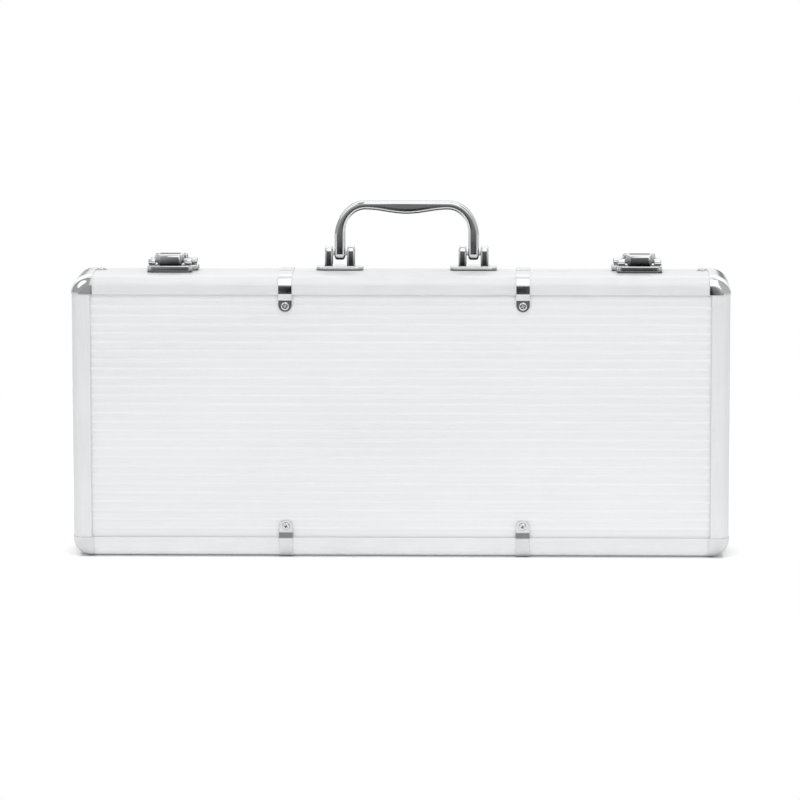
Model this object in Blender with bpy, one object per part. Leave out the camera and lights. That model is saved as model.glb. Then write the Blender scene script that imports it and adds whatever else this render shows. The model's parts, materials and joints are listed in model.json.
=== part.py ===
"""Aluminium poker chip case, standing on its hinge side with the latches and handle on top.

Units are metres. X runs along the case, Y runs from the lid's face to the base's face
and Z is up. The origin is on the ground, under the middle of the case.
"""

import math

import bmesh
import bpy
from mathutils import Matrix, Vector
from mathutils.geometry import tessellate_polygon

# Case, measured over the aluminium rails
case_length = 0.570
case_height = 0.245
case_depth = 0.069
lid_depth = 0.039
seat_gap = 0.0003
overrun = 0.004

# Rail extrusion
rail_wall = 0.0015
rail_edge_radius = 0.009
rail_lip = 0.0163
rail_lip_chamfer = 0.0004
rail_groove = 0.0038
rail_flange_reach = 0.013
rail_flange_thickness = 0.0012
rail_corner_radius = 0.016
parting_gap = 0.0003
parting_bevel = 0.00125
tongue_clearance = 0.0004
tongue_thickness = 0.0012
tongue_reach = 0.003
tongue_root = 0.005
tongue_chamfer = 0.0003
mitre_gap = 0.0003
rail_end_relief = 0.0003

# Ribbed panel and the board behind it
panel_thickness = 0.0006
panel_edge_inset = 0.0075
rib_height = 0.0008
rib_width = 0.003
rib_pitch = 0.00774
rib_count = 27
rib_first_below_lip = 0.0037
rib_shares = ((-0.5, 0.0), (-0.36, 0.62), (-0.16, 1.0), (0.16, 1.0), (0.36, 0.62), (0.5, 0.0))

# Corner caps
cap_thickness = 0.0008
cap_arm = 0.0004
hardware_setback = 0.003
ear_length = 0.0132
ear_width = 0.0105
ear_thickness = 0.0006
ear_overlap = 0.0025
ear_depth = 0.0185
rivet_radius = 0.0042
rivet_height = 0.0026
rivet_shares = ((1.0, 0.0), (1.0, 0.3), (0.82, 0.75), (0.42, 1.0))

# Panel clips and their screws
clip_width = 0.0118
clip_thickness = 0.0008
clip_from_end = 0.1822
clip_offset = 0.0031
clip_reach = 0.0306
clip_step_run = 0.0019
clip_step_start = 0.0002
clip_tip_shares = (0.0, 0.35, 0.65, 0.92)
screw_from_edge = 0.0254
screw_head_radius = 0.0034
screw_head_height = 0.0017
screw_shank_radius = 0.0017
screw_hole_radius = 0.0021
screw_length = 0.0036
screw_head_shares = ((1.0, 0.0), (1.0, 0.45), (0.88, 0.84), (0.63, 1.0))
recess_span = 0.0038
recess_width = 0.0009
recess_floor_width = 0.00065
recess_depth = 0.0011
recess_taper_share = 0.45
recess_root_share = 1.25

# Hinges
hinge_from_end = 0.095
hinge_width = 0.040
hinge_leaf_thickness = 0.0008
hinge_leaf_reach = 0.020
knuckle_radius = 0.0022
knuckle_bore_radius = 0.00142
knuckle_gap = 0.0003
knuckle_count = 5
knuckle_turn = math.radians(300)
hinge_pin_radius = 0.0012
hinge_notch_clearance = 0.0007

# Handle and its brackets
handle_width = 0.1259
handle_leg_width = 0.0093
handle_offset = 0.0044
handle_depth = 0.0115
handle_edge_radius = 0.0026
handle_rise = 0.0604
handle_bar_thickness = 0.0074
handle_belly = 0.0038
handle_outer_bend = (0.0267, 0.0316)
handle_inner_bend = (0.0177, 0.0199)
handle_pivot_height = 0.0143
handle_foot_shares = (0.96, 0.75, 0.4, 0.0)
handle_pivot_from_front = 0.0515
bracket_length = 0.0408
bracket_depth = 0.0190
bracket_thickness = 0.0032
bracket_corner = 0.0062
bracket_edge = 0.0008
post_width = 0.0068
post_gap = 0.0124
post_radius = 0.0064
post_edge = 0.0016
pivot_pin_radius = 0.0020
pivot_bore_radius = 0.0023

# Latches
latch_from_end = 0.081
latch_offset = 0.0029
keeper_length = 0.0394
keeper_front = 0.0255
keeper_depth = 0.0118
keeper_height = 0.0059
latch_corner = 0.0046
latch_edge = 0.0013
pad_edge_shares = ((0.0, 1.0), (0.3, 0.3), (1.0, 0.0))
keeper_lug_inner = 0.0124
keeper_lug_length = 0.0065
lug_radius = 0.0027
keeper_lug_height = 0.0092
keeper_lug_from_front = 0.0312
lug_neck = 0.0026
lug_neck_inset = 0.0007
keeper_pocket = (0.0150, 0.0034)
keeper_pocket_depth = 0.0026
keeper_pocket_from_front = 0.0305
latch_base_length = 0.0440
latch_base_shift = 0.0020
latch_base_front = 0.0412
latch_base_depth = 0.0172
latch_base_height = 0.0048
lever_pivot_from_front = 0.0535
lever_pivot_height = 0.0083
lever_front = 0.0266
lever_underside = 0.0066
lever_top_front = 0.0155
lever_top_rear = 0.0142
lever_tongue_width = 0.0213
lever_body_width = 0.0285
lever_shoulder_front = 0.0425
lever_shoulder_rear = 0.0465
lever_nose_bevel = 0.0023
lever_edge = 0.0016
bevel_share = 0.3
lever_wall = 0.0011
lever_heel_radius = 0.0029
lever_heel_run = 0.0018
lever_heel_drop = 0.0006
lever_heel_rise = 0.0017
lever_nose_relief = 0.0018
lever_web_clearance = 0.0011
lever_pin_radius = 0.0012
lever_bore_radius = 0.0015
claw_width = 0.0130
claw_thickness = 0.0016
claw_barrel_radius = 0.0019
claw_pivot_from_front = 0.0465
claw_pivot_height = 0.0081
claw_bar_height = 0.0090
claw_toe_from_front = 0.0290
claw_toe_thickness = 0.0018
claw_pin_radius = 0.0010
claw_bore_radius = 0.0013

# Chip racks, accessory tray and lid foam
tray_wall = 0.0008
tray_clearance = 0.0003
channel_radius = 0.0205
channel_pitch = 0.0415
channel_rise = 0.006
rack_end_land = 0.0110
rack_inner_land = 0.0051
tray_corner = 0.0105
accessory_tray_length = 0.1264
card_well = (0.092, 0.066)
dice_well = (0.092, 0.046)
well_depth = 0.0135
well_draft = 0.002
foam_thickness = 0.013
foam_edge = 0.002

# Facets
rail_arc_steps = 6
cap_profile_steps = 4
cap_plan_steps = 5
corner_steps = 4
round_steps = 12
screw_steps = 10
knuckle_steps = 9
channel_steps = 8
handle_bend_steps = 6
handle_belly_steps = 6
merge_distance = 0.000001
smooth_angle = math.radians(32)
quarter_turn = math.radians(90)
half_turn = math.radians(180)
full_turn = math.radians(360)

# Derived levels
stand_height = seat_gap + cap_thickness
base_depth = case_depth - lid_depth
front_y = -case_depth / 2
back_y = case_depth / 2
parting_y = front_y + lid_depth
middle_z = stand_height + case_height / 2
top_z = stand_height + case_height
hinge_z = knuckle_radius
groove_end = rail_wall + rail_groove
panel_face = rail_wall + seat_gap + rib_height
board_front = panel_face + panel_thickness + seat_gap
board_back = groove_end - seat_gap
flange_inner = groove_end + rail_flange_thickness
tongue_outer_face = rail_wall + tongue_clearance
tongue_inner_face = tongue_outer_face + tongue_thickness
hinge_point = Vector((0, parting_y, hinge_z))
hinge_x = case_length / 2 - hinge_from_end
clip_x = case_length / 2 - clip_from_end
latch_x = case_length / 2 - latch_from_end
foot_x = (handle_width - handle_leg_width) / 2
inside_x = case_length / 2 - tongue_inner_face - tray_clearance
inside_z = case_height / 2 - tongue_inner_face - tray_clearance

FINISHES = {
    "brushed_aluminium": ((0.86, 0.87, 0.88), 0.34, 1.0),
    "panel_aluminium": ((0.90, 0.91, 0.92), 0.42, 0.9),
    "chrome": ((0.80, 0.81, 0.83), 0.08, 1.0),
    "zinc_steel": ((0.66, 0.67, 0.68), 0.28, 1.0),
    "fibre_board": ((0.33, 0.24, 0.16), 0.85, 0.0),
    "black_flock": ((0.018, 0.018, 0.020), 0.92, 0.0),
    "black_foam": ((0.030, 0.030, 0.033), 0.95, 0.0),
}


def clear_scene():
    """Remove whatever the open file holds."""
    for item in list(bpy.data.objects):
        bpy.data.objects.remove(item, do_unlink=True)


def finish_for(name, finish):
    """Give each object a Principled material of its own."""
    colour, roughness, metallic = FINISHES[finish]
    material = bpy.data.materials.new(name + "_" + finish)
    material.use_nodes = True
    shader = material.node_tree.nodes["Principled BSDF"]
    shader.inputs["Base Color"].default_value = (*colour, 1.0)
    shader.inputs["Roughness"].default_value = roughness
    shader.inputs["Metallic"].default_value = metallic
    return material


def joint_empty(name, point):
    """Mark a joint's axis with an empty that its moving pieces hang from."""
    empty = bpy.data.objects.new(name, None)
    empty.location = point
    bpy.context.collection.objects.link(empty)
    return empty


def hang(piece, empty, matrix):
    """Parent a piece to an empty and keep the place that the matrix gives."""
    piece.parent = empty
    piece.matrix_parent_inverse = Matrix.Translation(-empty.location)
    piece.matrix_basis = matrix


def mesh_from(name, points, faces):
    """Make a closed, outward-facing mesh."""
    shape = bmesh.new()
    corners = [shape.verts.new(point) for point in points]
    for face in faces:
        shape.faces.new([corners[i] for i in face])
    bmesh.ops.remove_doubles(shape, verts=shape.verts, dist=merge_distance)
    bmesh.ops.dissolve_degenerate(shape, edges=shape.edges, dist=merge_distance)
    bmesh.ops.recalc_face_normals(shape, faces=shape.faces)
    mesh = bpy.data.meshes.new(name)
    shape.to_mesh(mesh)
    shape.free()
    mesh.shade_smooth()
    mesh.set_sharp_from_angle(angle=smooth_angle)
    return mesh


def object_from(name, mesh, finish, matrix=None, empty=None):
    """Put a mesh in the scene under its name, finish and place."""
    piece = bpy.data.objects.new(name, mesh)
    bpy.context.collection.objects.link(piece)
    if finish:
        if not mesh.materials:
            mesh.materials.append(None)
        piece.material_slots[0].link = "OBJECT"
        piece.material_slots[0].material = finish_for(name, finish)
    matrix = matrix or Matrix.Identity(4)
    if empty:
        hang(piece, empty, matrix)
    else:
        piece.matrix_basis = matrix
    return piece


def loft_faces(rings):
    """Skin a row of equal rings, with both ends closed."""
    size = len(rings[0])
    points = [Vector(point) for ring in rings for point in ring]
    faces = []
    for row in range(len(rings) - 1):
        for i in range(size):
            j = (i + 1) % size
            faces.append((row * size + i, row * size + j, (row + 1) * size + j, (row + 1) * size + i))
    for row, start in ((rings[0], 0), (rings[-1], (len(rings) - 1) * size)):
        for face in tessellate_polygon([[Vector(point) for point in row]]):
            faces.append(tuple(start + i for i in face))
    return points, faces


def loft(name, rings):
    """Make a mesh from a row of equal rings."""
    points, faces = loft_faces(rings)
    return mesh_from(name, points, faces)


def helper(name, mesh, matrix=None):
    """Place a shape that only cuts or joins another piece."""
    piece = object_from(name, mesh, None, matrix)
    piece.hide_render = True
    piece.display_type = "WIRE"
    return piece


def combine(piece, tool, operation):
    """Cut a piece with a helper, or join the helper to it."""
    change = piece.modifiers.new(tool.name, "BOOLEAN")
    change.operation = operation
    change.object = tool


def circle(radius, steps, centre=(0, 0), start=0.0):
    """Points of a full circle."""
    angles = [start + full_turn * i / steps for i in range(steps)]
    return [(centre[0] + radius * math.cos(a), centre[1] + radius * math.sin(a)) for a in angles]


def arc(radius, first, last, steps, centre=(0, 0)):
    """Points of an arc, both ends included."""
    angles = [first + (last - first) * i / steps for i in range(steps + 1)]
    return [(centre[0] + radius * math.cos(a), centre[1] + radius * math.sin(a)) for a in angles]


def rounded_rectangle(width, height, radius, centre=(0, 0), steps=corner_steps):
    """Outline of a rectangle with round corners."""
    across = width / 2 - radius
    up = height / 2 - radius
    outline = []
    for turn, (sx, sy) in enumerate(((1, 1), (-1, 1), (-1, -1), (1, -1))):
        corner = (centre[0] + sx * across, centre[1] + sy * up)
        outline += arc(radius, quarter_turn * turn, quarter_turn * (turn + 1), steps, corner)
    return outline


def x_cylinder(radius, x_first, x_last, y, z, steps=round_steps):
    """Rings of a cylinder that lies along X."""
    ring = circle(radius, steps, (y, z), full_turn / (2 * steps))
    return [[(x, a, b) for a, b in ring] for x in (x_first, x_last)]


def box_rings(x_first, x_last, y_first, y_last, z_first, z_last):
    """Rings of a plain block."""
    ring = ((x_first, y_first), (x_last, y_first), (x_last, y_last), (x_first, y_last))
    return [[(x, y, z) for x, y in ring] for z in (z_first, z_last)]


def side_matrix(half, turn, along=0.0):
    """Place a shape drawn at a rail's outer edge on one half and one side.

    The shape is drawn with X along the side, Y into the case from its face and Z out of
    the side. Turn counts quarter turns from the top side towards the right, and along is
    its place on the case's X.
    """
    face = front_y if half == "lid" else back_y
    reach = case_height / 2 if turn % 2 == 0 else case_length / 2
    flip = Matrix.Identity(4) if half == "lid" else Matrix.Rotation(half_turn, 4, "Z")
    to_side = Matrix.Rotation(quarter_turn * turn, 4, "Y")
    place = Matrix.Translation((0, face, middle_z))
    return Matrix.Translation((along, 0, 0)) @ place @ to_side @ Matrix.Translation((0, 0, reach)) @ flip


def half_empty(half, lid_axis):
    """The lid's pieces hang from the hinge axis and the base's pieces stand by themselves."""
    return lid_axis if half == "lid" else None


def depth_of(half):
    """Depth of the lid or the base."""
    return lid_depth if half == "lid" else base_depth


def rail_profile(half):
    """Section of the extrusion as (inward from its outer wall, depth from its face)."""
    edge = rail_edge_radius
    inner = edge - rail_wall
    end = depth_of(half) - parting_gap / 2
    groove_angle = math.asin((edge - groove_end) / inner)
    flange_angle = math.asin((edge - flange_inner) / inner)
    points = [(0, end - parting_bevel)]
    points += arc(edge, half_turn, half_turn + quarter_turn, rail_arc_steps, (edge, edge))
    points += [(rail_lip - rail_lip_chamfer, 0), (rail_lip, rail_lip_chamfer), (rail_lip, rail_wall)]
    points += arc(inner, half_turn + quarter_turn, half_turn + groove_angle, rail_arc_steps // 2, (edge, edge))
    points += [(rail_flange_reach, groove_end), (rail_flange_reach, flange_inner)]
    points += arc(inner, half_turn + flange_angle, half_turn, 1, (edge, edge))
    if half == "base":
        ramp = tongue_inner_face - rail_wall
        points += [(rail_wall, end - tongue_root), (tongue_inner_face, end - tongue_root + ramp)]
        points += [(tongue_inner_face, end + tongue_reach - tongue_chamfer)]
        points += [(tongue_inner_face - tongue_chamfer, end + tongue_reach)]
        points += [(tongue_outer_face, end + tongue_reach), (tongue_outer_face, end)]
    points += [(rail_wall, end)]
    return points


def rail_end(inward, depth):
    """How far short of the case's corner a rail stops, at a point of its section."""
    shell = rail_corner_radius
    if depth < rail_edge_radius:
        bend = math.sqrt(rail_edge_radius**2 - (rail_edge_radius - depth) ** 2)
        shell = rail_corner_radius - rail_edge_radius + bend
    shell -= rail_end_relief
    rest = rail_corner_radius - inward
    if rest >= shell:
        return rail_corner_radius
    return max(inward + mitre_gap / 2, rail_corner_radius - math.sqrt(shell**2 - max(rest, 0) ** 2))


def rail_mesh(name, half, length):
    """One mitred length of extrusion, cut round where a corner cap covers it."""
    section = rail_profile(half)
    size = len(section)
    points = []
    for sign in (-1, 1):
        points += [(sign * (length / 2 - rail_end(v, u)), u, -v) for v, u in section]
    faces = [(i, (i + 1) % size, size + (i + 1) % size, size + i) for i in range(size)]
    flat = [Vector((v, u, 0)) for v, u in section]
    for face in tessellate_polygon([flat]):
        faces.append(tuple(face))
        faces.append(tuple(size + i for i in face))
    return mesh_from(name, points, faces)


def make_rails(lid_axis):
    """Four rails round each half, with the hinge side notched for the knuckles."""
    notches = []
    notch_half = knuckle_radius + hinge_notch_clearance
    notch_top = 2 * knuckle_radius + hinge_notch_clearance
    for side, sign in (("left", -1), ("right", 1)):
        x = sign * hinge_x
        reach = hinge_width / 2 + hinge_notch_clearance
        block = box_rings(
            x - reach, x + reach, parting_y - notch_half, parting_y + notch_half, -overrun, notch_top
        )
        notches.append(helper("hinge_notch_" + side, loft("hinge_notch", block)))
    for half in ("lid", "base"):
        long_mesh = rail_mesh(half + "_long_rail", half, case_length)
        short_mesh = rail_mesh(half + "_short_rail", half, case_height)
        for turn, side in enumerate(("top", "right", "bottom", "left")):
            mesh = short_mesh if turn % 2 else long_mesh
            rail = object_from(
                half + "_rail_" + side, mesh, "brushed_aluminium", side_matrix(half, turn),
                half_empty(half, lid_axis),
            )
            if side == "bottom":
                for notch in notches:
                    combine(rail, notch, "DIFFERENCE")


def panel_section():
    """Ribbed skin's section as (height from the case's middle, depth from the rail's face)."""
    edge = case_height / 2 - panel_edge_inset
    first_rib = case_height / 2 - rail_lip - rib_first_below_lip
    section = [(edge, panel_face + panel_thickness), (edge, panel_face)]
    for number in range(rib_count):
        centre = first_rib - number * rib_pitch
        for across, rise in rib_shares:
            section.append((centre - across * rib_width, panel_face - rise * rib_height))
    section += [(-edge, panel_face), (-edge, panel_face + panel_thickness)]
    return section


def make_panels(lid_axis):
    """A ribbed aluminium skin and a fibre board in the groove of each half, each facing out."""
    reach = case_length / 2 - panel_edge_inset
    rise = case_height / 2 - panel_edge_inset
    section = panel_section()
    skin = loft("panel_skin", [[(x, u, z) for z, u in section] for x in (-reach, reach)])
    board = loft("panel_board", box_rings(-reach, reach, board_front, board_back, -rise, rise))
    made = {}
    for half in ("lid", "base"):
        face = front_y if half == "lid" else back_y
        flip = Matrix.Identity(4) if half == "lid" else Matrix.Rotation(half_turn, 4, "Z")
        place = Matrix.Translation((0, face, middle_z)) @ flip
        empty = half_empty(half, lid_axis)
        made[half] = (
            object_from(half + "_panel", skin, "panel_aluminium", place, empty),
            object_from(half + "_board", board, "fibre_board", place, empty),
        )
    return made


def cap_section(half):
    """Thin section of a corner cap as (radius from the corner's centre, depth)."""
    centre = (rail_corner_radius - rail_edge_radius, rail_edge_radius)
    end = depth_of(half) - hardware_setback
    layers = []
    for offset in (seat_gap + cap_thickness, seat_gap):
        bend = arc(rail_edge_radius + offset, 0, -quarter_turn, cap_profile_steps, centre)
        layers.append([(rail_corner_radius + offset, end)] + bend + [(0, -offset)])
    return layers[0] + layers[1][::-1]


def cap_mesh(name, half):
    """Ball-cornered cap, drawn for the upper right corner about the corner's centre."""
    section = cap_section(half)
    rings = [[(r, u, -cap_arm) for r, u in section]]
    for step in range(cap_plan_steps + 1):
        angle = quarter_turn * step / cap_plan_steps
        rings.append([(r * math.cos(angle), u, r * math.sin(angle)) for r, u in section])
    rings.append([(-cap_arm, u, r) for r, u in section])
    return loft(name, rings)


def ear_meshes(arm):
    """Rounded ear and its domed rivet, which join the cap along one of its two arms."""
    half_width = ear_width / 2
    under = rail_corner_radius + seat_gap + (cap_thickness - ear_thickness) / 2
    straight = ear_length - half_width
    outline = [(ear_overlap - cap_arm, -half_width)]
    outline += arc(half_width, -quarter_turn, -quarter_turn - half_turn, round_steps // 2,
                   (-cap_arm - straight, 0))
    outline += [(ear_overlap - cap_arm, half_width)]
    ear = [[(x, ear_depth + y, z) for x, y in outline] for z in (under, under + ear_thickness)]
    rivet = []
    for across, up in rivet_shares:
        ring = circle(rivet_radius * across, round_steps, (-cap_arm - straight, ear_depth))
        rise = up * (rivet_height + ear_thickness / 2) + ear_thickness / 2
        rivet.append([(x, y, under + rise) for x, y in ring])
    if arm == "last":
        return loft("ear", ear), loft("rivet", rivet)
    return (
        loft("ear", [[(z, y, x) for x, y, z in ring] for ring in ear]),
        loft("rivet", [[(z, y, x) for x, y, z in ring] for ring in rivet]),
    )


def make_caps(lid_axis):
    """Four corner caps on each half. The base's upper caps carry an ear on the latch side."""
    corners = {"lid": ("top_right", "bottom_right", "bottom_left", "top_left"),
               "base": ("top_left", "top_right", "bottom_right", "bottom_left")}
    for half in ("lid", "base"):
        mesh = cap_mesh(half + "_cap", half)
        face = front_y if half == "lid" else back_y
        flip = Matrix.Identity(4) if half == "lid" else Matrix.Rotation(half_turn, 4, "Z")
        for turn, corner in enumerate(corners[half]):
            sign_x = 1 if "right" in corner else -1
            sign_z = 1 if "top" in corner else -1
            centre = (
                sign_x * (case_length / 2 - rail_corner_radius),
                face,
                middle_z + sign_z * (case_height / 2 - rail_corner_radius),
            )
            place = Matrix.Translation(centre) @ Matrix.Rotation(quarter_turn * turn, 4, "Y") @ flip
            cap = object_from(half + "_corner_" + corner, mesh, "chrome", place, half_empty(half, lid_axis))
            if half == "base" and "top" in corner:
                for part, shape in zip(("ear", "ear_rivet"), ear_meshes("last" if turn == 0 else "first")):
                    combine(cap, helper(part + "_" + corner, shape, place), "UNION")


def offset_path(path, thickness):
    """Second edge of a bent strip, at its thickness to the left of the path."""
    moved = []
    for i, point in enumerate(path):
        here = Vector(point)
        before = (here - Vector(path[i - 1])).normalized() if i else None
        after = (Vector(path[i + 1]) - here).normalized() if i + 1 < len(path) else None
        before = before or after
        after = after or before
        normal = Vector((-before.y, before.x)) + Vector((-after.y, after.x))
        normal.normalize()
        moved.append(tuple(here + normal * thickness / normal.dot(Vector((-before.y, before.x)))))
    return moved


def clip_path(half):
    """Underside of a clip as (inward, depth), with the strip's half width at each point."""
    edge = rail_edge_radius
    gap = seat_gap
    wide = clip_width / 2
    tab_level = rail_wall
    step_end = rail_lip + clip_step_start + clip_step_run
    path = [(-gap, depth_of(half) - hardware_setback)]
    path += arc(edge + gap, half_turn, half_turn + quarter_turn, rail_arc_steps, (edge, edge))
    path += [(rail_lip + clip_step_start, -gap), (step_end, tab_level)]
    widths = [wide] * len(path)
    for share in clip_tip_shares:
        angle = quarter_turn * share
        path.append((clip_reach - wide + wide * math.sin(angle), tab_level))
        widths.append(wide * math.cos(angle))
    return path, widths


def clip_mesh(half):
    """Bent sheet clip from the parting line over the rail and down onto the panel."""
    inner, widths = clip_path(half)
    outer = offset_path(inner, -clip_thickness)
    rings = []
    for (v, u), (w, t), wide in zip(inner, outer, widths):
        rings.append([(-wide, u, -v), (wide, u, -v), (wide, t, -w), (-wide, t, -w)])
    return loft(half + "_clip", rings)


def screw_mesh():
    """Pan-head screw with a cross recess, drawn with its head facing -Y."""
    profile = [(screw_shank_radius, screw_length), (screw_shank_radius, 0)]
    profile += [(screw_head_radius * across, -screw_head_height * up) for across, up in screw_head_shares]
    rings = []
    for radius, depth in profile:
        rings.append([(x, depth, z) for x, z in circle(radius, screw_steps)])
    return loft("screw", rings)


def recess_mesh():
    """Tapered cross that cuts the screw's recess."""
    rings = []
    top = -screw_head_height
    for share, width, depth in ((1.0, recess_width, top - overrun), (1.0, recess_width, top),
                                (recess_taper_share, recess_floor_width, top + recess_depth)):
        span = recess_span / 2 * share
        wide = width / 2
        root = wide * recess_root_share
        cross = []
        for sx, sz in ((1, 1), (-1, 1), (-1, -1), (1, -1)):
            if sx * sz > 0:
                cross += [(sx * span, sz * wide), (sx * root, sz * root), (sx * wide, sz * span)]
            else:
                cross += [(sx * wide, sz * span), (sx * root, sz * root), (sx * span, sz * wide)]
        rings.append([(x, depth, z) for x, z in cross])
    return loft("recess", rings)


def make_clips(lid_axis, panels):
    """Two clips and screws on each long side of each half, through the skin and its board."""
    head_seat = rail_wall - clip_thickness - seat_gap
    screw = screw_mesh()
    recess = recess_mesh()
    drill_rings = []
    for depth in (-overrun, board_back + overrun):
        drill_rings.append([(x, depth, z) for x, z in circle(screw_hole_radius, screw_steps)])
    drill = loft("drill", drill_rings)
    for half in ("lid", "base"):
        clip = clip_mesh(half)
        for turn, side in ((0, "top"), (2, "bottom")):
            for end, sign in (("left", -1), ("right", 1)):
                place = side_matrix(half, turn, sign * clip_x + clip_offset)
                label = side + "_" + end
                empty = half_empty(half, lid_axis)
                piece = object_from(half + "_clip_" + label, clip, "chrome", place, empty)
                seat = place @ Matrix.Translation((0, 0, -screw_from_edge))
                hole = helper(half + "_drill_" + label, drill, seat)
                combine(piece, hole, "DIFFERENCE")
                for sheet in panels[half]:
                    combine(sheet, hole, "DIFFERENCE")
                set_in = seat @ Matrix.Translation((0, head_seat, 0))
                fastener = object_from(half + "_clip_screw_" + label, screw, "chrome", set_in, empty)
                tool = helper(half + "_recess_" + label, recess, set_in)
                combine(fastener, tool, "DIFFERENCE")


def leaf_section():
    """Hinge leaf with its rolled knuckle, drawn for the base about the pin's axis as (Y, Z)."""
    flat = -knuckle_radius
    inner_turn = -quarter_turn - knuckle_turn
    roll = arc(knuckle_radius, -quarter_turn, inner_turn, knuckle_steps)
    bore = arc(knuckle_bore_radius, inner_turn, -quarter_turn, knuckle_steps)
    leaf = [(hinge_leaf_reach, flat + hinge_leaf_thickness), (hinge_leaf_reach, flat)]
    return leaf + roll + bore


def make_hinges(lid_axis):
    """Two five-knuckle hinges at the parting line on the side that the case stands on."""
    pitch = (hinge_width + knuckle_gap) / knuckle_count
    section = leaf_section()
    start = -hinge_width / 2
    rolled = [[(x, y, z) for y, z in section] for x in (start, -start)]
    mesh = loft("hinge_leaf", rolled)
    pin_mesh = loft("hinge_pin", x_cylinder(hinge_pin_radius, start, -start, 0, 0))
    for side, sign in (("left", -1), ("right", 1)):
        place = Matrix.Translation((sign * hinge_x, parting_y, hinge_z))
        for half in ("base", "lid"):
            turned = place if half == "base" else place @ Matrix.Rotation(half_turn, 4, "Z")
            leaf = object_from(
                half + "_hinge_leaf_" + side, mesh, "zinc_steel", turned, half_empty(half, lid_axis)
            )
            for number in range(knuckle_count):
                if (number % 2 == 0) == (half == "base"):
                    continue
                first = start + number * pitch - knuckle_gap
                last = first + pitch + knuckle_gap
                if number == 0:
                    first -= overrun
                if number == knuckle_count - 1:
                    last += overrun
                block = box_rings(first, last, -2 * knuckle_radius, hardware_setback,
                                  -2 * knuckle_radius, 2 * knuckle_radius)
                if half == "lid":
                    block = [[(x, -y, z) for x, y, z in ring] for ring in block]
                label = "knuckle_cut_%s_%s_%d" % (half, side, number)
                combine(leaf, helper(label, loft("knuckle_cut", block), place), "DIFFERENCE")
        object_from("hinge_pin_" + side, pin_mesh, "zinc_steel", place)


def handle_edges():
    """Outer and inner edges of the handle's right half as matching (X, Z above the case) rows."""
    outer_x = handle_width / 2
    inner_x = outer_x - handle_leg_width
    bend_x, bend_z = handle_outer_bend
    tight_x, tight_z = handle_inner_bend
    bar_under = handle_rise - handle_bar_thickness
    rows = []
    for step in range(handle_bend_steps + 1):
        angle = quarter_turn * step / handle_bend_steps
        outer = (outer_x - bend_x + bend_x * math.cos(angle), handle_rise - bend_z + bend_z * math.sin(angle))
        inner = (inner_x - tight_x + tight_x * math.cos(angle), bar_under - tight_z + tight_z * math.sin(angle))
        rows.append((outer, inner))
    span = inner_x - tight_x
    for step in range(1, handle_belly_steps // 2 + 1):
        share = 1 - step / (handle_belly_steps / 2)
        belly = handle_belly * (1 + math.cos(half_turn * share)) / 2
        rows.append((((outer_x - bend_x) * share, handle_rise), (span * share, bar_under - belly)))
    return rows


def handle_ring(outer, inner, half_depth):
    """Rounded section between an outer and an inner edge point."""
    out = Vector((outer[0], 0, outer[1]))
    into = Vector((inner[0], 0, inner[1]))
    middle = (out + into) / 2
    across = (out - into) / 2
    radius = min(handle_edge_radius, half_depth)
    ring = []
    reach = across.length
    direction = across.normalized()
    for a, b in rounded_rectangle(2 * reach, 2 * half_depth, radius, steps=2):
        point = middle + direction * a
        ring.append((point.x, b, point.z))
    return ring


def make_handle(handle_axis):
    """Flat-fronted bail handle with a bellied grip and round feet bored for the pins."""
    outer_x = handle_width / 2
    inner_x = outer_x - handle_leg_width
    half_depth = handle_depth / 2
    pivot = handle_pivot_height
    feet = []
    for share in handle_foot_shares:
        drop = half_depth * share
        deep = math.sqrt(half_depth**2 - drop**2)
        feet.append(handle_ring((outer_x, pivot - drop), (inner_x, pivot - drop), deep))
    right = feet + [handle_ring(outer, inner, half_depth) for outer, inner in handle_edges()]
    left = [[(-x, y, z) for x, y, z in ring] for ring in right[:-1]][::-1]
    rings = [[(x, y, z - pivot) for x, y, z in ring] for ring in right + left]
    place = Matrix.Translation(handle_axis.location)
    handle = object_from("handle", loft("handle", rings), "chrome", place, handle_axis)
    bore = loft("handle_bore", x_cylinder(pivot_bore_radius, -outer_x - overrun, outer_x + overrun, 0, 0))
    combine(handle, helper("handle_bore", bore, place), "DIFFERENCE")


def pad_mesh(name, width, depth, height, corner, edge, centre):
    """Flat pressed plate with round corners and a rounded upper edge."""
    rings = []
    levels = [(0.0, seat_gap)] + [(edge * inward, height - edge * down) for inward, down in pad_edge_shares]
    for inset, level in levels:
        outline = rounded_rectangle(width - 2 * inset, depth - 2 * inset, corner - inset, centre)
        rings.append([(x, y, level) for x, y in outline])
    return loft(name, rings)


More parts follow.
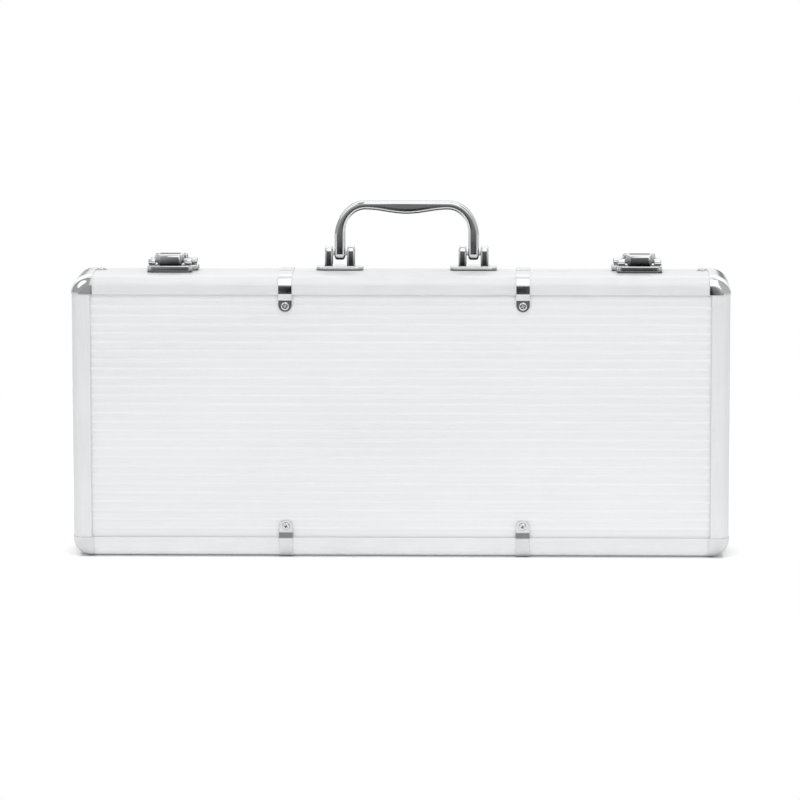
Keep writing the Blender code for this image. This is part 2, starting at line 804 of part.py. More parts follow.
def make_brackets(handle_axis):
    """Bracket plate with two round-topped posts, and the pin that runs through the handle's foot."""
    pivot_z = handle_pivot_height
    plate = pad_mesh("bracket_plate", bracket_length, bracket_depth, bracket_thickness, bracket_corner,
                     bracket_edge, (0, 0))
    post_ring = [(post_radius, bracket_thickness / 2)]
    post_ring += arc(post_radius, 0, half_turn, round_steps - 2, (0, pivot_z))
    post_ring += [(-post_radius, bracket_thickness / 2)]
    pin_reach = post_gap / 2 + post_width
    for side, sign in (("left", -1), ("right", 1)):
        place = Matrix.Translation((handle_axis.location.x + sign * foot_x, handle_axis.location.y, top_z))
        bracket = object_from("handle_bracket_" + side, plate, "chrome", place)
        for hand, way in (("inner", -sign), ("outer", sign)):
            levels = ((0, post_edge), (post_edge, 0), (post_width - post_edge, 0), (post_width, post_edge))
            rings = []
            for out, shrink in levels:
                x = way * (post_gap / 2 + out)
                scale = (post_radius - shrink) / post_radius
                rings.append([(x, y * scale, pivot_z + (z - pivot_z) * (scale if z > pivot_z else 1))
                              for y, z in post_ring])
            post = loft("bracket_post", rings)
            combine(bracket, helper("post_%s_%s" % (side, hand), post, place), "UNION")
        bore = loft("bracket_bore", x_cylinder(pivot_bore_radius, -pin_reach - overrun, pin_reach + overrun,
                                               0, pivot_z))
        combine(bracket, helper("bracket_bore_" + side, bore, place), "DIFFERENCE")
        pin = loft("pivot_pin", x_cylinder(pivot_pin_radius, -pin_reach, pin_reach, 0, pivot_z))
        object_from("handle_pin_" + side, pin, "zinc_steel", place)


def lug_meshes(x_first, x_last, y, z, foot):
    """Barrel along X on a narrow neck."""
    barrel = loft("lug", x_cylinder(lug_radius, x_first, x_last, y, z))
    neck = box_rings(x_first + lug_neck_inset, x_last - lug_neck_inset, y - lug_neck / 2,
                     y + lug_neck / 2, foot / 2, z)
    return barrel, loft("neck", neck)


def lever_sections():
    """Stations of the lever as (depth, half width, underside, top, bevel)."""
    tongue = lever_tongue_width / 2
    body = lever_body_width / 2
    pivot_y = lever_pivot_from_front
    nose = lever_nose_bevel
    heel = lever_heel_radius
    under = lever_underside
    return (
        (lever_front, tongue - nose, under + nose / 2, lever_top_front - nose / 2, lever_edge),
        (lever_front + nose / 2, tongue, under, lever_top_front, lever_edge),
        (lever_shoulder_front, tongue, under, lever_top_front - lever_edge / 2, lever_edge),
        (lever_shoulder_rear, body, under, lever_top_rear, lever_edge),
        (pivot_y + lever_heel_run, body, under, lever_top_rear, lever_edge),
        (pivot_y + heel, body, lever_pivot_height - lever_heel_drop, lever_pivot_height + lever_heel_rise,
         lever_edge / 2),
    )


def lever_ring(depth, wide, low, high, bevel):
    """Section of the lever across the case, with bevelled upper corners."""
    ease = bevel * bevel_share
    half = [(wide, low), (wide, high - bevel), (wide - ease, high - ease), (wide - bevel, high)]
    other = [(-x, z) for x, z in half[::-1]]
    return [(x, depth, z) for x, z in half + other]


def lever_cavity():
    """Hollow that leaves the lever a thin top, nose and side walls."""
    wall = lever_wall
    tongue = lever_tongue_width / 2 - wall
    rear = lever_pivot_from_front - lever_bore_radius - lever_web_clearance
    top = lever_top_rear - wall
    rings = []
    for depth, high in ((lever_front + lever_nose_relief, lever_top_front - 2 * wall), (lever_shoulder_front, top),
                        (rear, top)):
        rings.append([(tongue, depth, lever_underside - overrun), (tongue, depth, high),
                      (-tongue, depth, high), (-tongue, depth, lever_underside - overrun)])
    return loft("lever_cavity", rings)


def claw_section():
    """Side view of the claw as (depth, height): barrel, bar and toe."""
    y = claw_pivot_from_front
    z = claw_pivot_height
    toe_y = claw_toe_from_front
    toe_bottom = lever_underside
    bar_low = claw_bar_height
    bar_high = bar_low + claw_thickness
    lower = math.asin((bar_low - z) / claw_barrel_radius)
    barrel = arc(claw_barrel_radius, half_turn - lower, full_turn + quarter_turn, round_steps, (y, z))
    section = [(toe_y, bar_high), (toe_y, toe_bottom), (toe_y + claw_toe_thickness / 2, toe_bottom)]
    section += [(toe_y + claw_toe_thickness, toe_bottom + claw_toe_thickness / 2)]
    section += [(toe_y + claw_toe_thickness, bar_low)]
    section += barrel
    return section


def make_latches(lid_axis):
    """Draw latches: keeper on the lid, and base, lever and claw on the base's rail."""
    for side, sign in (("left", -1), ("right", 1)):
        inboard = -sign
        place = Matrix.Translation((sign * latch_x + latch_offset, front_y, top_z))
        make_keeper(side, place, lid_axis)
        make_latch_base(side, place, inboard)
        make_lever_and_claw(side, place)


def make_keeper(side, place, lid_axis):
    """Pressed keeper with two barrel lugs and the pocket for the claw's toe."""
    middle = (0, keeper_front + keeper_depth / 2)
    mesh = pad_mesh("keeper", keeper_length, keeper_depth, keeper_height, latch_corner, latch_edge, middle)
    keeper = object_from("keeper_" + side, mesh, "chrome", place, lid_axis)
    for hand, way in (("left", -1), ("right", 1)):
        ends = sorted((way * keeper_lug_inner, way * (keeper_lug_inner + keeper_lug_length)))
        shapes = lug_meshes(*ends, keeper_lug_from_front, keeper_lug_height, keeper_height)
        for part, shape in zip(("barrel", "neck"), shapes):
            combine(keeper, helper("keeper_%s_%s_%s" % (side, part, hand), shape, place), "UNION")
    wide, deep = keeper_pocket
    pocket = box_rings(-wide / 2, wide / 2, keeper_pocket_from_front - deep / 2,
                       keeper_pocket_from_front + deep / 2, keeper_height - keeper_pocket_depth,
                       keeper_height + overrun)
    combine(keeper, helper("keeper_pocket_" + side, loft("pocket", pocket), place), "DIFFERENCE")


def make_latch_base(side, place, inboard):
    """Latch base whose two lugs carry the lever's pin."""
    shift = inboard * latch_base_shift
    middle = (shift, latch_base_front + latch_base_depth / 2)
    mesh = pad_mesh("latch_base", latch_base_length, latch_base_depth, latch_base_height, latch_corner,
                    latch_edge, middle)
    base = object_from("latch_base_" + side, mesh, "chrome", place)
    lug_inner = lever_body_width / 2 + seat_gap
    for hand, way in (("left", -1), ("right", 1)):
        lug_outer = latch_base_length / 2 - latch_edge + way * shift
        ends = sorted((way * lug_inner, way * lug_outer))
        shapes = lug_meshes(*ends, lever_pivot_from_front, lever_pivot_height, latch_base_height)
        for part, shape in zip(("barrel", "neck"), shapes):
            combine(base, helper("latch_base_%s_%s_%s" % (side, part, hand), shape, place), "UNION")
    pin = loft("lever_pin", x_cylinder(lever_pin_radius, -lug_inner - lug_neck / 2, lug_inner + lug_neck / 2,
                                       lever_pivot_from_front, lever_pivot_height))
    combine(base, helper("lever_pin_" + side, pin, place), "UNION")


def make_lever_and_claw(side, place):
    """Hollow lever on the latch base's pin, with the claw swinging inside it."""
    lever_point = place @ Vector((0, lever_pivot_from_front, lever_pivot_height))
    claw_point = place @ Vector((0, claw_pivot_from_front, claw_pivot_height))
    lever_axis = joint_empty("lever_axis_" + side, lever_point)
    claw_axis = joint_empty("claw_axis_" + side, claw_point)
    mesh = loft("lever", [lever_ring(*station) for station in lever_sections()])
    lever = object_from("latch_lever_" + side, mesh, "chrome", place, lever_axis)
    combine(lever, helper("lever_cavity_" + side, lever_cavity(), place), "DIFFERENCE")
    wide = lever_body_width / 2 + overrun
    bores = ((lever_bore_radius, lever_pivot_from_front, lever_pivot_height, "pivot"),
             (claw_bore_radius, claw_pivot_from_front, claw_pivot_height, "claw"))
    for radius, y, z, use in bores:
        bore = loft("lever_bore", x_cylinder(radius, -wide, wide, y, z))
        combine(lever, helper("lever_bore_%s_%s" % (use, side), bore, place), "DIFFERENCE")
    section = claw_section()
    half = claw_width / 2
    claw_shape = loft("claw", [[(x, y, z) for y, z in section] for x in (-half, half)])
    claw = object_from("latch_claw_" + side, claw_shape, "zinc_steel", place, claw_axis)
    reach = lever_tongue_width / 2
    pin = loft("claw_pin", x_cylinder(claw_pin_radius, -reach, reach, claw_pivot_from_front, claw_pivot_height))
    combine(claw, helper("claw_pin_" + side, pin, place), "UNION")


def soft_corners(x_lines, z_lines, rounded_x):
    """Arcs that round a tray's corners, each from its X-running edge to its Z-running edge."""
    soft = {}
    for x in rounded_x:
        for z in (z_lines[0], z_lines[-1]):
            way_x = 1 if x > 0 else -1
            way_z = 1 if z > 0 else -1
            bend = arc(tray_corner, quarter_turn, 0, corner_steps)
            soft[(x, z)] = [
                (x - way_x * (tray_corner - a), z - way_z * (tray_corner - b)) for a, b in bend
            ]
    return soft


def tray_shell(name, x_lines, z_lines, hollows, rounded_x=()):
    """Formed tray: a land with hollows in it and a skirt, given its wall by Solidify.

    The land lies at Y 0 and hollows go towards +Y. Each hollow is (column, row, maker).
    """
    loops = []
    soft = soft_corners(x_lines, z_lines, rounded_x)
    taken = {(column, row) for column, row, _ in hollows}
    for column in range(len(x_lines) - 1):
        for row in range(len(z_lines) - 1):
            x0, x1 = x_lines[column:column + 2]
            z0, z1 = z_lines[row:row + 2]
            if (column, row) in taken:
                continue
            land = []
            for number, spot in enumerate(((x0, z0), (x1, z0), (x1, z1), (x0, z1))):
                bend = soft.get(spot, [spot])
                land += bend if number % 2 else bend[::-1]
            loops.append([(x, 0, z) for x, z in land])
    for column, row, maker in hollows:
        x0, x1 = x_lines[column:column + 2]
        z0, z1 = z_lines[row:row + 2]
        loops += maker(x0, x1, z0, z1)
    edges = []
    for z in (z_lines[0], z_lines[-1]):
        for a, b in zip(x_lines, x_lines[1:]):
            edges.append((soft.get((a, z), [(a, z)])[0], soft.get((b, z), [(b, z)])[0]))
    for x in (x_lines[0], x_lines[-1]):
        for a, b in zip(z_lines, z_lines[1:]):
            edges.append((soft.get((x, a), [(x, a)])[-1], soft.get((x, b), [(x, b)])[-1]))
    for bend in soft.values():
        edges += zip(bend, bend[1:])
    drop = skirt_drop()
    for (xa, za), (xb, zb) in edges:
        loops.append(((xa, 0, za), (xb, 0, zb), (xb, drop, zb), (xa, drop, za)))
    shape = bmesh.new()
    for loop in loops:
        shape.faces.new([shape.verts.new(point) for point in loop])
    bmesh.ops.remove_doubles(shape, verts=shape.verts, dist=merge_distance)
    bmesh.ops.recalc_face_normals(shape, faces=shape.faces)
    if sum(face.normal.y * face.calc_area() for face in shape.faces) > 0:
        bmesh.ops.reverse_faces(shape, faces=shape.faces)
    mesh = bpy.data.meshes.new(name)
    shape.to_mesh(mesh)
    shape.free()
    mesh.shade_smooth()
    mesh.set_sharp_from_angle(angle=smooth_angle)
    return mesh


def land_depth():
    """Depth of the trays' land behind the base board's inner face."""
    return channel_radius - channel_rise + tray_wall + seat_gap


def skirt_drop():
    """Height of a tray's skirt, down to the rails' flanges."""
    return land_depth() - (flange_inner - board_back) - tray_clearance


def channel_faces(x0, x1, z0, z1):
    """Half-round chip channel with flat ends."""
    middle = (z0 + z1) / 2
    reach = math.asin((z1 - z0) / (2 * channel_radius))
    bend = []
    for step in range(channel_steps + 1):
        angle = -reach + 2 * reach * step / channel_steps
        bend.append((channel_radius * math.cos(angle) - channel_rise, middle + channel_radius * math.sin(angle)))
    bend[0] = (0, z0)
    bend[-1] = (0, z1)
    loops = []
    for (ya, za), (yb, zb) in zip(bend, bend[1:]):
        loops.append(((x0, ya, za), (x1, ya, za), (x1, yb, zb), (x0, yb, zb)))
    for x in (x0, x1):
        loops.append([(x, y, z) for y, z in bend])
    return loops


def well_faces(x0, x1, z0, z1):
    """Rectangular well with drafted walls."""
    top = ((x0, z0), (x1, z0), (x1, z1), (x0, z1))
    low = ((x0 + well_draft, z0 + well_draft), (x1 - well_draft, z0 + well_draft),
           (x1 - well_draft, z1 - well_draft), (x0 + well_draft, z1 - well_draft))
    loops = [[(x, well_depth, z) for x, z in low]]
    for i in range(4):
        j = (i + 1) % 4
        loops.append(((top[i][0], 0, top[i][1]), (top[j][0], 0, top[j][1]),
                      (low[j][0], well_depth, low[j][1]), (low[i][0], well_depth, low[i][1])))
    return loops


def make_trays():
    """Two chip racks and the accessory tray between them, on the base's flanges.

    The racks take as many channels as the case's height holds, and the wells share the
    room that is left between them evenly.
    """
    opening = math.sqrt(channel_radius**2 - channel_rise**2)
    channel_count = int(2 * inside_z / channel_pitch)
    rows = [(number - (channel_count - 1) / 2) * channel_pitch for number in range(channel_count)]
    z_lines = [-inside_z] + [z + way * opening for z in rows for way in (-1, 1)] + [inside_z]
    inner_x = accessory_tray_length / 2 + tray_clearance
    land_y = back_y - board_back - land_depth()
    for side, sign in (("left", -1), ("right", 1)):
        far_end = inside_x - rack_end_land
        x_lines = sorted(sign * x for x in (inner_x, inner_x + rack_inner_land, far_end, inside_x))
        hollows = [(1, 1 + 2 * number, channel_faces) for number in range(channel_count)]
        mesh = tray_shell("chip_rack_" + side, x_lines, z_lines, hollows, (sign * inside_x,))
        rack = object_from("chip_rack_" + side, mesh, "black_flock", Matrix.Translation((0, land_y, middle_z)))
        add_wall(rack)
    half_card = card_well[0] / 2
    half_tray = accessory_tray_length / 2
    x_lines = [-half_tray, -half_card, half_card, half_tray]
    wells = (card_well[1], dice_well[1], card_well[1])
    land = (2 * inside_z - sum(wells)) / (len(wells) + 1)
    z_lines = [-inside_z]
    for size in wells:
        z_lines += [z_lines[-1] + land, z_lines[-1] + land + size]
    z_lines.append(inside_z)
    hollows = [(1, row, well_faces) for row in (1, 3, 5)]
    mesh = tray_shell("accessory_tray", x_lines, z_lines, hollows)
    tray = object_from("accessory_tray", mesh, "black_flock", Matrix.Translation((0, land_y, middle_z)))
    add_wall(tray)


def add_wall(shell):
    """Give a formed sheet its thickness on the hidden side."""
    wall = shell.modifiers.new("wall", "SOLIDIFY")
    wall.thickness = tray_wall
    wall.offset = -1.0
    wall.use_even_offset = True


def make_foam(lid_axis):
    """Foam pad that lies on the lid's flanges and keeps the chips in their rows."""
    low = flange_inner + seat_gap
    rings = []
    for inset, depth in ((0.0, low), (0.0, low + foam_thickness - foam_edge), (foam_edge, low + foam_thickness)):
        outline = rounded_rectangle(2 * (inside_x - inset), 2 * (inside_z - inset),
                                    rail_corner_radius - inset, steps=2)
        rings.append([(x, depth, z) for x, z in outline])
    place = Matrix.Translation((0, front_y, middle_z))
    object_from("lid_foam", loft("lid_foam", rings), "black_foam", place, lid_axis)


def main():
    """Build the whole case."""
    clear_scene()
    lid_axis = joint_empty("lid_axis", hinge_point)
    handle_point = (handle_offset, front_y + handle_pivot_from_front, top_z + handle_pivot_height)
    handle_axis = joint_empty("handle_axis", handle_point)
    make_rails(lid_axis)
    panels = make_panels(lid_axis)
    make_caps(lid_axis)
    make_clips(lid_axis, panels)
    make_hinges(lid_axis)
    make_handle(handle_axis)
    make_brackets(handle_axis)
    make_latches(lid_axis)
    make_trays()
    make_foam(lid_axis)


main()
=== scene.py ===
# %% [markdown]
# # A poker chip case in bright metal
#
# This lesson dresses an aluminium case for poker chips. A fixed model already holds its
# sizes and joints, and every part made here takes its place from that model. The case has
# satin rails, ribbed skins, polished corners, clips, two latches, a bail handle, and
# flocked racks inside.

# %% Load the fixed model
import json
import math

import bmesh
import bpy
from mathutils import Matrix, Vector

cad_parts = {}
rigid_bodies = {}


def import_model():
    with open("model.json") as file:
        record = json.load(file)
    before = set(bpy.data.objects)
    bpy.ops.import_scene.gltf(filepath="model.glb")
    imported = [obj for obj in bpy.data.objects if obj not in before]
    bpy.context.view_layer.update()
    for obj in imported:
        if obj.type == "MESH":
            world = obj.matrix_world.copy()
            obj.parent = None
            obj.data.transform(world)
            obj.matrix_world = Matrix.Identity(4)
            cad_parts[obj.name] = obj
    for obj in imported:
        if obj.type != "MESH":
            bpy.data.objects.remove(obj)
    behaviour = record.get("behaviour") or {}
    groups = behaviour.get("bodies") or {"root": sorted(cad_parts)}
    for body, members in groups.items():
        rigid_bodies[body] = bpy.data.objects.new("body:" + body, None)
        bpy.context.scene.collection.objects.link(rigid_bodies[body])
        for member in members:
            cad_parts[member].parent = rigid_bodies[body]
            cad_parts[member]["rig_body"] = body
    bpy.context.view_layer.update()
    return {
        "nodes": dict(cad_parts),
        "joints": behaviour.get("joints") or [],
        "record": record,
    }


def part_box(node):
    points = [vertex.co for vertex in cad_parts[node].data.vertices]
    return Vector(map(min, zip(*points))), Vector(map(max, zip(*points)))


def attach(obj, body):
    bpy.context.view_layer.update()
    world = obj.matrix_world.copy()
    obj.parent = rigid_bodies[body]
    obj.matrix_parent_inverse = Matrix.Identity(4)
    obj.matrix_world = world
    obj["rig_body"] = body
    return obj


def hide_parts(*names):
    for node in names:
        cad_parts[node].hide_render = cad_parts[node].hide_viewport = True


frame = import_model()
MM = 0.001
print("pieces in the model:", len(frame["nodes"]))

# %% [markdown]
# The camera stands a little over four metres away and looks slightly down through a long
# lens. That is why the top of the case shows as a thin band and its sides hardly narrow.
# The lens is worked out from how large the case has to look in a square picture.

# %% Camera
camera_place = Vector((0.1042, -4.300, 0.7305))
camera_aim = Vector((-0.0004, -0.034, 0.1383))
camera_lens = 223.95
camera_roll = -0.0012

view = (camera_aim - camera_place).to_track_quat("-Z", "Y").to_matrix().to_4x4()
bpy.ops.object.camera_add(location=camera_place)
camera = bpy.context.object
camera.matrix_world = Matrix.Translation(camera_place) @ view @ Matrix.Rotation(camera_roll, 4, "Z")
camera.data.lens = camera_lens
camera.data.sensor_width = 36
camera.data.clip_end = 50
bpy.context.scene.camera = camera
bpy.context.scene.view_settings.view_transform = "Standard"
print("camera to case:", round((camera_aim - camera_place).length, 2), "m")

# %% [markdown]
# ## The studio
#
# Polished metal shows what stands around it, so the studio matters more here than on a
# matt object. The case stands in a white tent that is open in front and, low down, behind.
# In front there is a grey wall with a white board near its middle and an umbrella lamp at
# the left. The white floor ends about a metre away, and one strip of the floor beyond is
# nearly black and fades to grey at its ends. So a face that looks straight out goes dark,
# and every edge and round part picks up grey and then the white of the tent. The camera
# itself only sees white, and a matt surface sees an even, soft light, so that its colour
# renders as written. The floor near the case gives matt surfaces a little light back.
#
# The case stands on its hinge side, so its lid swings down past the floor's level. In front
# of the case the floor is therefore clear to the camera and lets light through.

# %% Node helpers
node_gap = 220
nodes_in_row = 10


def node(tree, kind, **sockets):
    """Add a shader node and set its sockets by name."""
    made = tree.nodes.new(kind)
    row, column = divmod(len(tree.nodes), nodes_in_row)
    made.location = (column * node_gap, -row * node_gap)
    for name, value in sockets.items():
        made.inputs[name.replace("_", " ")].default_value = value
    return made


def link(tree, *chain):
    """Link sockets two by two."""
    for source, target in zip(chain[::2], chain[1::2]):
        tree.links.new(source, target)


def maths(tree, operation, first, second=None):
    """Add a Math node on sockets or plain numbers."""
    made = node(tree, "ShaderNodeMath")
    made.operation = operation
    for socket, value in zip(made.inputs, (first, second)):
        if isinstance(value, (int, float)):
            socket.default_value = value
        elif value is not None:
            tree.links.new(value, socket)
    return made.outputs[0]


def fade(tree, value, start, stop, low=0.0, high=1.0):
    """Change smoothly from low to high while a value goes from start to stop."""
    made = node(tree, "ShaderNodeMapRange", From_Min=start, From_Max=stop, To_Min=low, To_Max=high)
    made.interpolation_type = "SMOOTHSTEP"
    tree.links.new(value, made.inputs["Value"])
    return made.outputs[0]


def opening(tree, vector, slopes):
    """How squarely a direction looks out through the tent's front or back opening."""
    parts = node(tree, "ShaderNodeSeparateXYZ")
    tree.links.new(vector, parts.inputs[0])
    across = maths(tree, "ABSOLUTE", parts.outputs["X"])
    deep = maths(tree, "ABSOLUTE", parts.outputs["Y"])
    slope = maths(tree, "DIVIDE", across, maths(tree, "ADD", deep, 0.0001))
    return parts, fade(tree, slope, slopes[0], slopes[1], 1.0, 0.0)


# %% The tent and the room outside it
opening_slope = (0.75, 1.05)
back_slope = (0.10, 0.22)
board_left = (-0.085, -0.065)
board_right = (0.40, 0.46)
board_low = (0.10, 0.14)
wall_left = 0.40
wall_right = 0.52
wall_line = 0.22
wall_tilt = 0.75
wall_edge = 0.58
line_half = 0.08
room_grey = 0.17
tent_white = 0.96
lamp_white = 1.25
ceiling_white = 0.92
umbrella_way = (-0.58, -0.57, 0.58)
umbrella_edge = (0.925, 0.94)
plain_light = 0.74
side_light = 0.5
front_edge = (-0.02, 0.02)
wall_meet = (-0.1, 0.1)
tent_rise = (0.25, 0.55)
ceiling_start = (0.93, 0.96)
wall_blur = (-0.03, 0.03)
line_gap = (0.03, 0.10)
back_level = (0.03, 0.09)
side_turn = (0.35, 1.0)
horizon = (-0.06, -0.02)


def mix(tree, share, first, second):
    """Blend two values, each a socket or a plain number."""
    made = node(tree, "ShaderNodeMix")
    for socket, value in (("Factor", share), ("A", first), ("B", second)):
        if isinstance(value, (int, float)):
            made.inputs[socket].default_value = value
        else:
            tree.links.new(value, made.inputs[socket])
    return made.outputs["Result"]


world = bpy.data.worlds.new("studio")
bpy.context.scene.world = world
world.use_nodes = True
sky = world.node_tree
sky.nodes.clear()
direction = node(sky, "ShaderNodeTexCoord").outputs["Generated"]
parts, through_back = opening(sky, direction, back_slope)
level = parts.outputs["Z"]
deep = parts.outputs["Y"]
in_front = fade(sky, deep, *front_edge, 1.0, 0.0)

wall = fade(sky, parts.outputs["X"], *wall_meet, wall_left, wall_right)
board = maths(sky, "MULTIPLY", fade(sky, parts.outputs["X"], *board_left),
              fade(sky, parts.outputs["X"], *board_right, 1.0, 0.0))
board = maths(sky, "MULTIPLY", board, fade(sky, level, *board_low))
wall = mix(sky, board, wall, lamp_white)
bulb = node(sky, "ShaderNodeVectorMath")
bulb.operation = "DOT_PRODUCT"
bulb.inputs[1].default_value = umbrella_way
link(sky, direction, bulb.inputs[0])
wall = mix(sky, fade(sky, bulb.outputs["Value"], *umbrella_edge), wall, lamp_white)

height = maths(sky, "MULTIPLY", level, wall_tilt)
above = maths(sky, "ADD", maths(sky, "ADD", deep, height), -wall_edge)
off_line = fade(sky, maths(sky, "ABSOLUTE", above), 0.4 * line_half, line_half)
aside = fade(sky, maths(sky, "ABSOLUTE", parts.outputs["X"]), *line_gap)
tent = fade(sky, level, *tent_rise, tent_white, lamp_white)
tent = mix(sky, fade(sky, level, *ceiling_start), tent, ceiling_white)
around = mix(sky, fade(sky, above, *wall_blur), wall, tent)
line = maths(sky, "MULTIPLY", aside, maths(sky, "SUBTRACT", 1.0, off_line))
around = mix(sky, line, around, wall_line)
back_top = fade(sky, level, *back_level, 1.0, 0.0)
back_shade = maths(sky, "MULTIPLY", through_back, back_top)
back_shade = maths(sky, "MULTIPLY", back_shade, maths(sky, "SUBTRACT", 1.0, in_front))
colour = mix(sky, back_shade, around, room_grey)
plain = fade(sky, maths(sky, "ABSOLUTE", parts.outputs["X"]), *side_turn, plain_light, side_light)
plain = maths(sky, "MULTIPLY", plain, fade(sky, level, *horizon))
mirror_light = node(sky, "ShaderNodeBackground", Color=(1, 1, 1, 1))
matt_light = node(sky, "ShaderNodeBackground", Color=(1, 1, 1, 1))
white = node(sky, "ShaderNodeBackground", Color=(1, 1, 1, 1), Strength=1.0)
path = node(sky, "ShaderNodeLightPath")
for_mirrors = node(sky, "ShaderNodeMixShader")
for_camera = node(sky, "ShaderNodeMixShader")
out = node(sky, "ShaderNodeOutputWorld")
link(sky, colour, mirror_light.inputs["Strength"], plain, matt_light.inputs["Strength"],
     path.outputs["Is Glossy Ray"], for_mirrors.inputs["Fac"],
     matt_light.outputs[0], for_mirrors.inputs[1], mirror_light.outputs[0], for_mirrors.inputs[2],
     path.outputs["Is Camera Ray"], for_camera.inputs["Fac"],
     for_mirrors.outputs[0], for_camera.inputs[1], white.outputs[0], for_camera.inputs[2],
     for_camera.outputs[0], out.inputs["Surface"])

# %% Floor
floor_half = 9.0
sheet_end = (1.00, 1.12)
gap_start = (1.93, 1.98)
gap_end = (2.30, 2.60)
gap_grey = 0.015
gap_aside = (0.33, 0.46)
aside_grey = 0.36
floor_white = 0.93
floor_lift = 0.24
lift_fade = (0.45, 1.1)
painted_shade_footprint = (0.280, 0.0335)
open_floor = (-0.0345, -0.0325)
floor_glow = 0.2
glow_reach = (0.25, 0.50)
shadow_edge = (-0.002, 0.002)

bpy.ops.mesh.primitive_plane_add(size=2 * floor_half, location=(0, 0, 0))
floor = bpy.context.object
floor.name = "floor"
paper = bpy.data.materials.new("floor_sheet")
paper.use_nodes = True
tree = paper.node_tree
tree.nodes.clear()
place = node(tree, "ShaderNodeTexCoord")
length = node(tree, "ShaderNodeVectorMath")
length.operation = "LENGTH"
link(tree, place.outputs["Object"], length.inputs[0])
parts, to_front = opening(tree, place.outputs["Object"], opening_slope)
parts, to_back = opening(tree, place.outputs["Object"], back_slope)
in_front = fade(tree, parts.outputs["Y"], *front_edge, 1.0, 0.0)
through = mix(tree, in_front, to_back, to_front)
beyond = fade(tree, length.outputs["Value"], *sheet_end)
near_side = fade(tree, length.outputs["Value"], *gap_start, room_grey, gap_grey)
far_side = fade(tree, length.outputs["Value"], *gap_end, 0, room_grey - gap_grey)
grey = maths(tree, "ADD", near_side, far_side)
sideways = fade(tree, maths(tree, "ABSOLUTE", parts.outputs["X"]), *gap_aside)
grey = mix(tree, sideways, grey, aside_grey)
path = node(tree, "ShaderNodeLightPath")
dark = maths(tree, "MULTIPLY", through, beyond)
dark = maths(tree, "MULTIPLY", dark, path.outputs["Is Glossy Ray"])
matt = node(tree, "ShaderNodeBsdfDiffuse", Color=(floor_white, floor_white, floor_white, 1))
room_floor = node(tree, "ShaderNodeEmission", Color=(1, 1, 1, 1))
lift = node(tree, "ShaderNodeEmission", Color=(1, 1, 1, 1))
# The camera-only lift is left out under the case's footprint, so the floor there stays darker than around it:
# a painted contact shade.
across = maths(tree, "SUBTRACT", maths(tree, "ABSOLUTE", parts.outputs["X"]), painted_shade_footprint[0])
deep = maths(tree, "SUBTRACT", maths(tree, "ABSOLUTE", parts.outputs["Y"]), painted_shade_footprint[1])
outside = maths(tree, "MAXIMUM", across, deep)
link(tree, fade(tree, outside, *shadow_edge, 0.0, floor_lift), lift.inputs["Strength"])
bright = node(tree, "ShaderNodeEmission", Color=(1, 1, 1, 1), Strength=1.0)
glow = node(tree, "ShaderNodeEmission", Color=(1, 1, 1, 1))
near_case = fade(tree, length.outputs["Value"], *glow_reach, floor_glow, 0.0)
near_case = maths(tree, "MULTIPLY", near_case, path.outputs["Is Diffuse Ray"])
warm = node(tree, "ShaderNodeAddShader")
sheet = node(tree, "ShaderNodeMixShader")
lifted = node(tree, "ShaderNodeAddShader")
clear = node(tree, "ShaderNodeMixShader")
seen = node(tree, "ShaderNodeMixShader")
nothing = node(tree, "ShaderNodeBsdfTransparent")
whole = node(tree, "ShaderNodeMixShader")
passing = maths(tree, "MAXIMUM", path.outputs["Is Camera Ray"], path.outputs["Is Shadow Ray"])
passing = maths(tree, "MULTIPLY", passing, fade(tree, parts.outputs["Y"], *open_floor, 1.0, 0.0))
out = node(tree, "ShaderNodeOutputMaterial")
away = fade(tree, length.outputs["Value"], *lift_fade)
link(tree, grey, room_floor.inputs["Strength"], dark, sheet.inputs["Fac"],
     near_case, glow.inputs["Strength"], matt.outputs[0], warm.inputs[0], glow.outputs[0], warm.inputs[1],
     warm.outputs[0], sheet.inputs[1], room_floor.outputs[0], sheet.inputs[2],
     matt.outputs[0], lifted.inputs[0], lift.outputs[0], lifted.inputs[1],
     away, clear.inputs["Fac"], lifted.outputs[0], clear.inputs[1], bright.outputs[0], clear.inputs[2],
     path.outputs["Is Camera Ray"], seen.inputs["Fac"],
     sheet.outputs[0], seen.inputs[1], clear.outputs[0], seen.inputs[2],
     passing, whole.inputs["Fac"], seen.outputs[0], whole.inputs[1], nothing.outputs[0], whole.inputs[2],
     whole.outputs[0], out.inputs["Surface"])
floor.data.materials.append(paper)

# %% Lamps
lamps = (
    ("key", (-1.1, -1.9, 2.1), 1.4, 10),
    ("fill", (1.5, -1.7, 1.6), 1.4, 7),
    ("top", (0.0, -0.6, 2.4), 1.2, 7),
    ("back", (0.2, 1.9, 2.0), 1.6, 9),
)
for name, spot, size, power in lamps:
    bpy.ops.object.light_add(type="AREA", location=spot)
    lamp = bpy.context.object
    lamp.name = name + "_lamp"
    lamp.data.shape = "SQUARE"
    lamp.data.size = size
    lamp.data.energy = power
    aim = Vector((0, 0, 0.12)) - Vector(spot)
    lamp.rotation_euler = aim.to_track_quat("-Z", "Y").to_euler()
    lamp.visible_glossy = False
    lamp.visible_camera = False
print("lamps:", len(lamps))

# %% [markdown]
# ## Finishes
#
# Every finish starts from one Principled shader. Its plain numbers are set on the shader
# itself, and noise on Object coordinates then drives what varies over a real surface:
# the shade, the roughness and the fine relief. Object coordinates are in metres here, so
# a noise scale is simply how many cells fit in a metre, and a grain is a noise that is
# stretched along the way the metal was rolled.

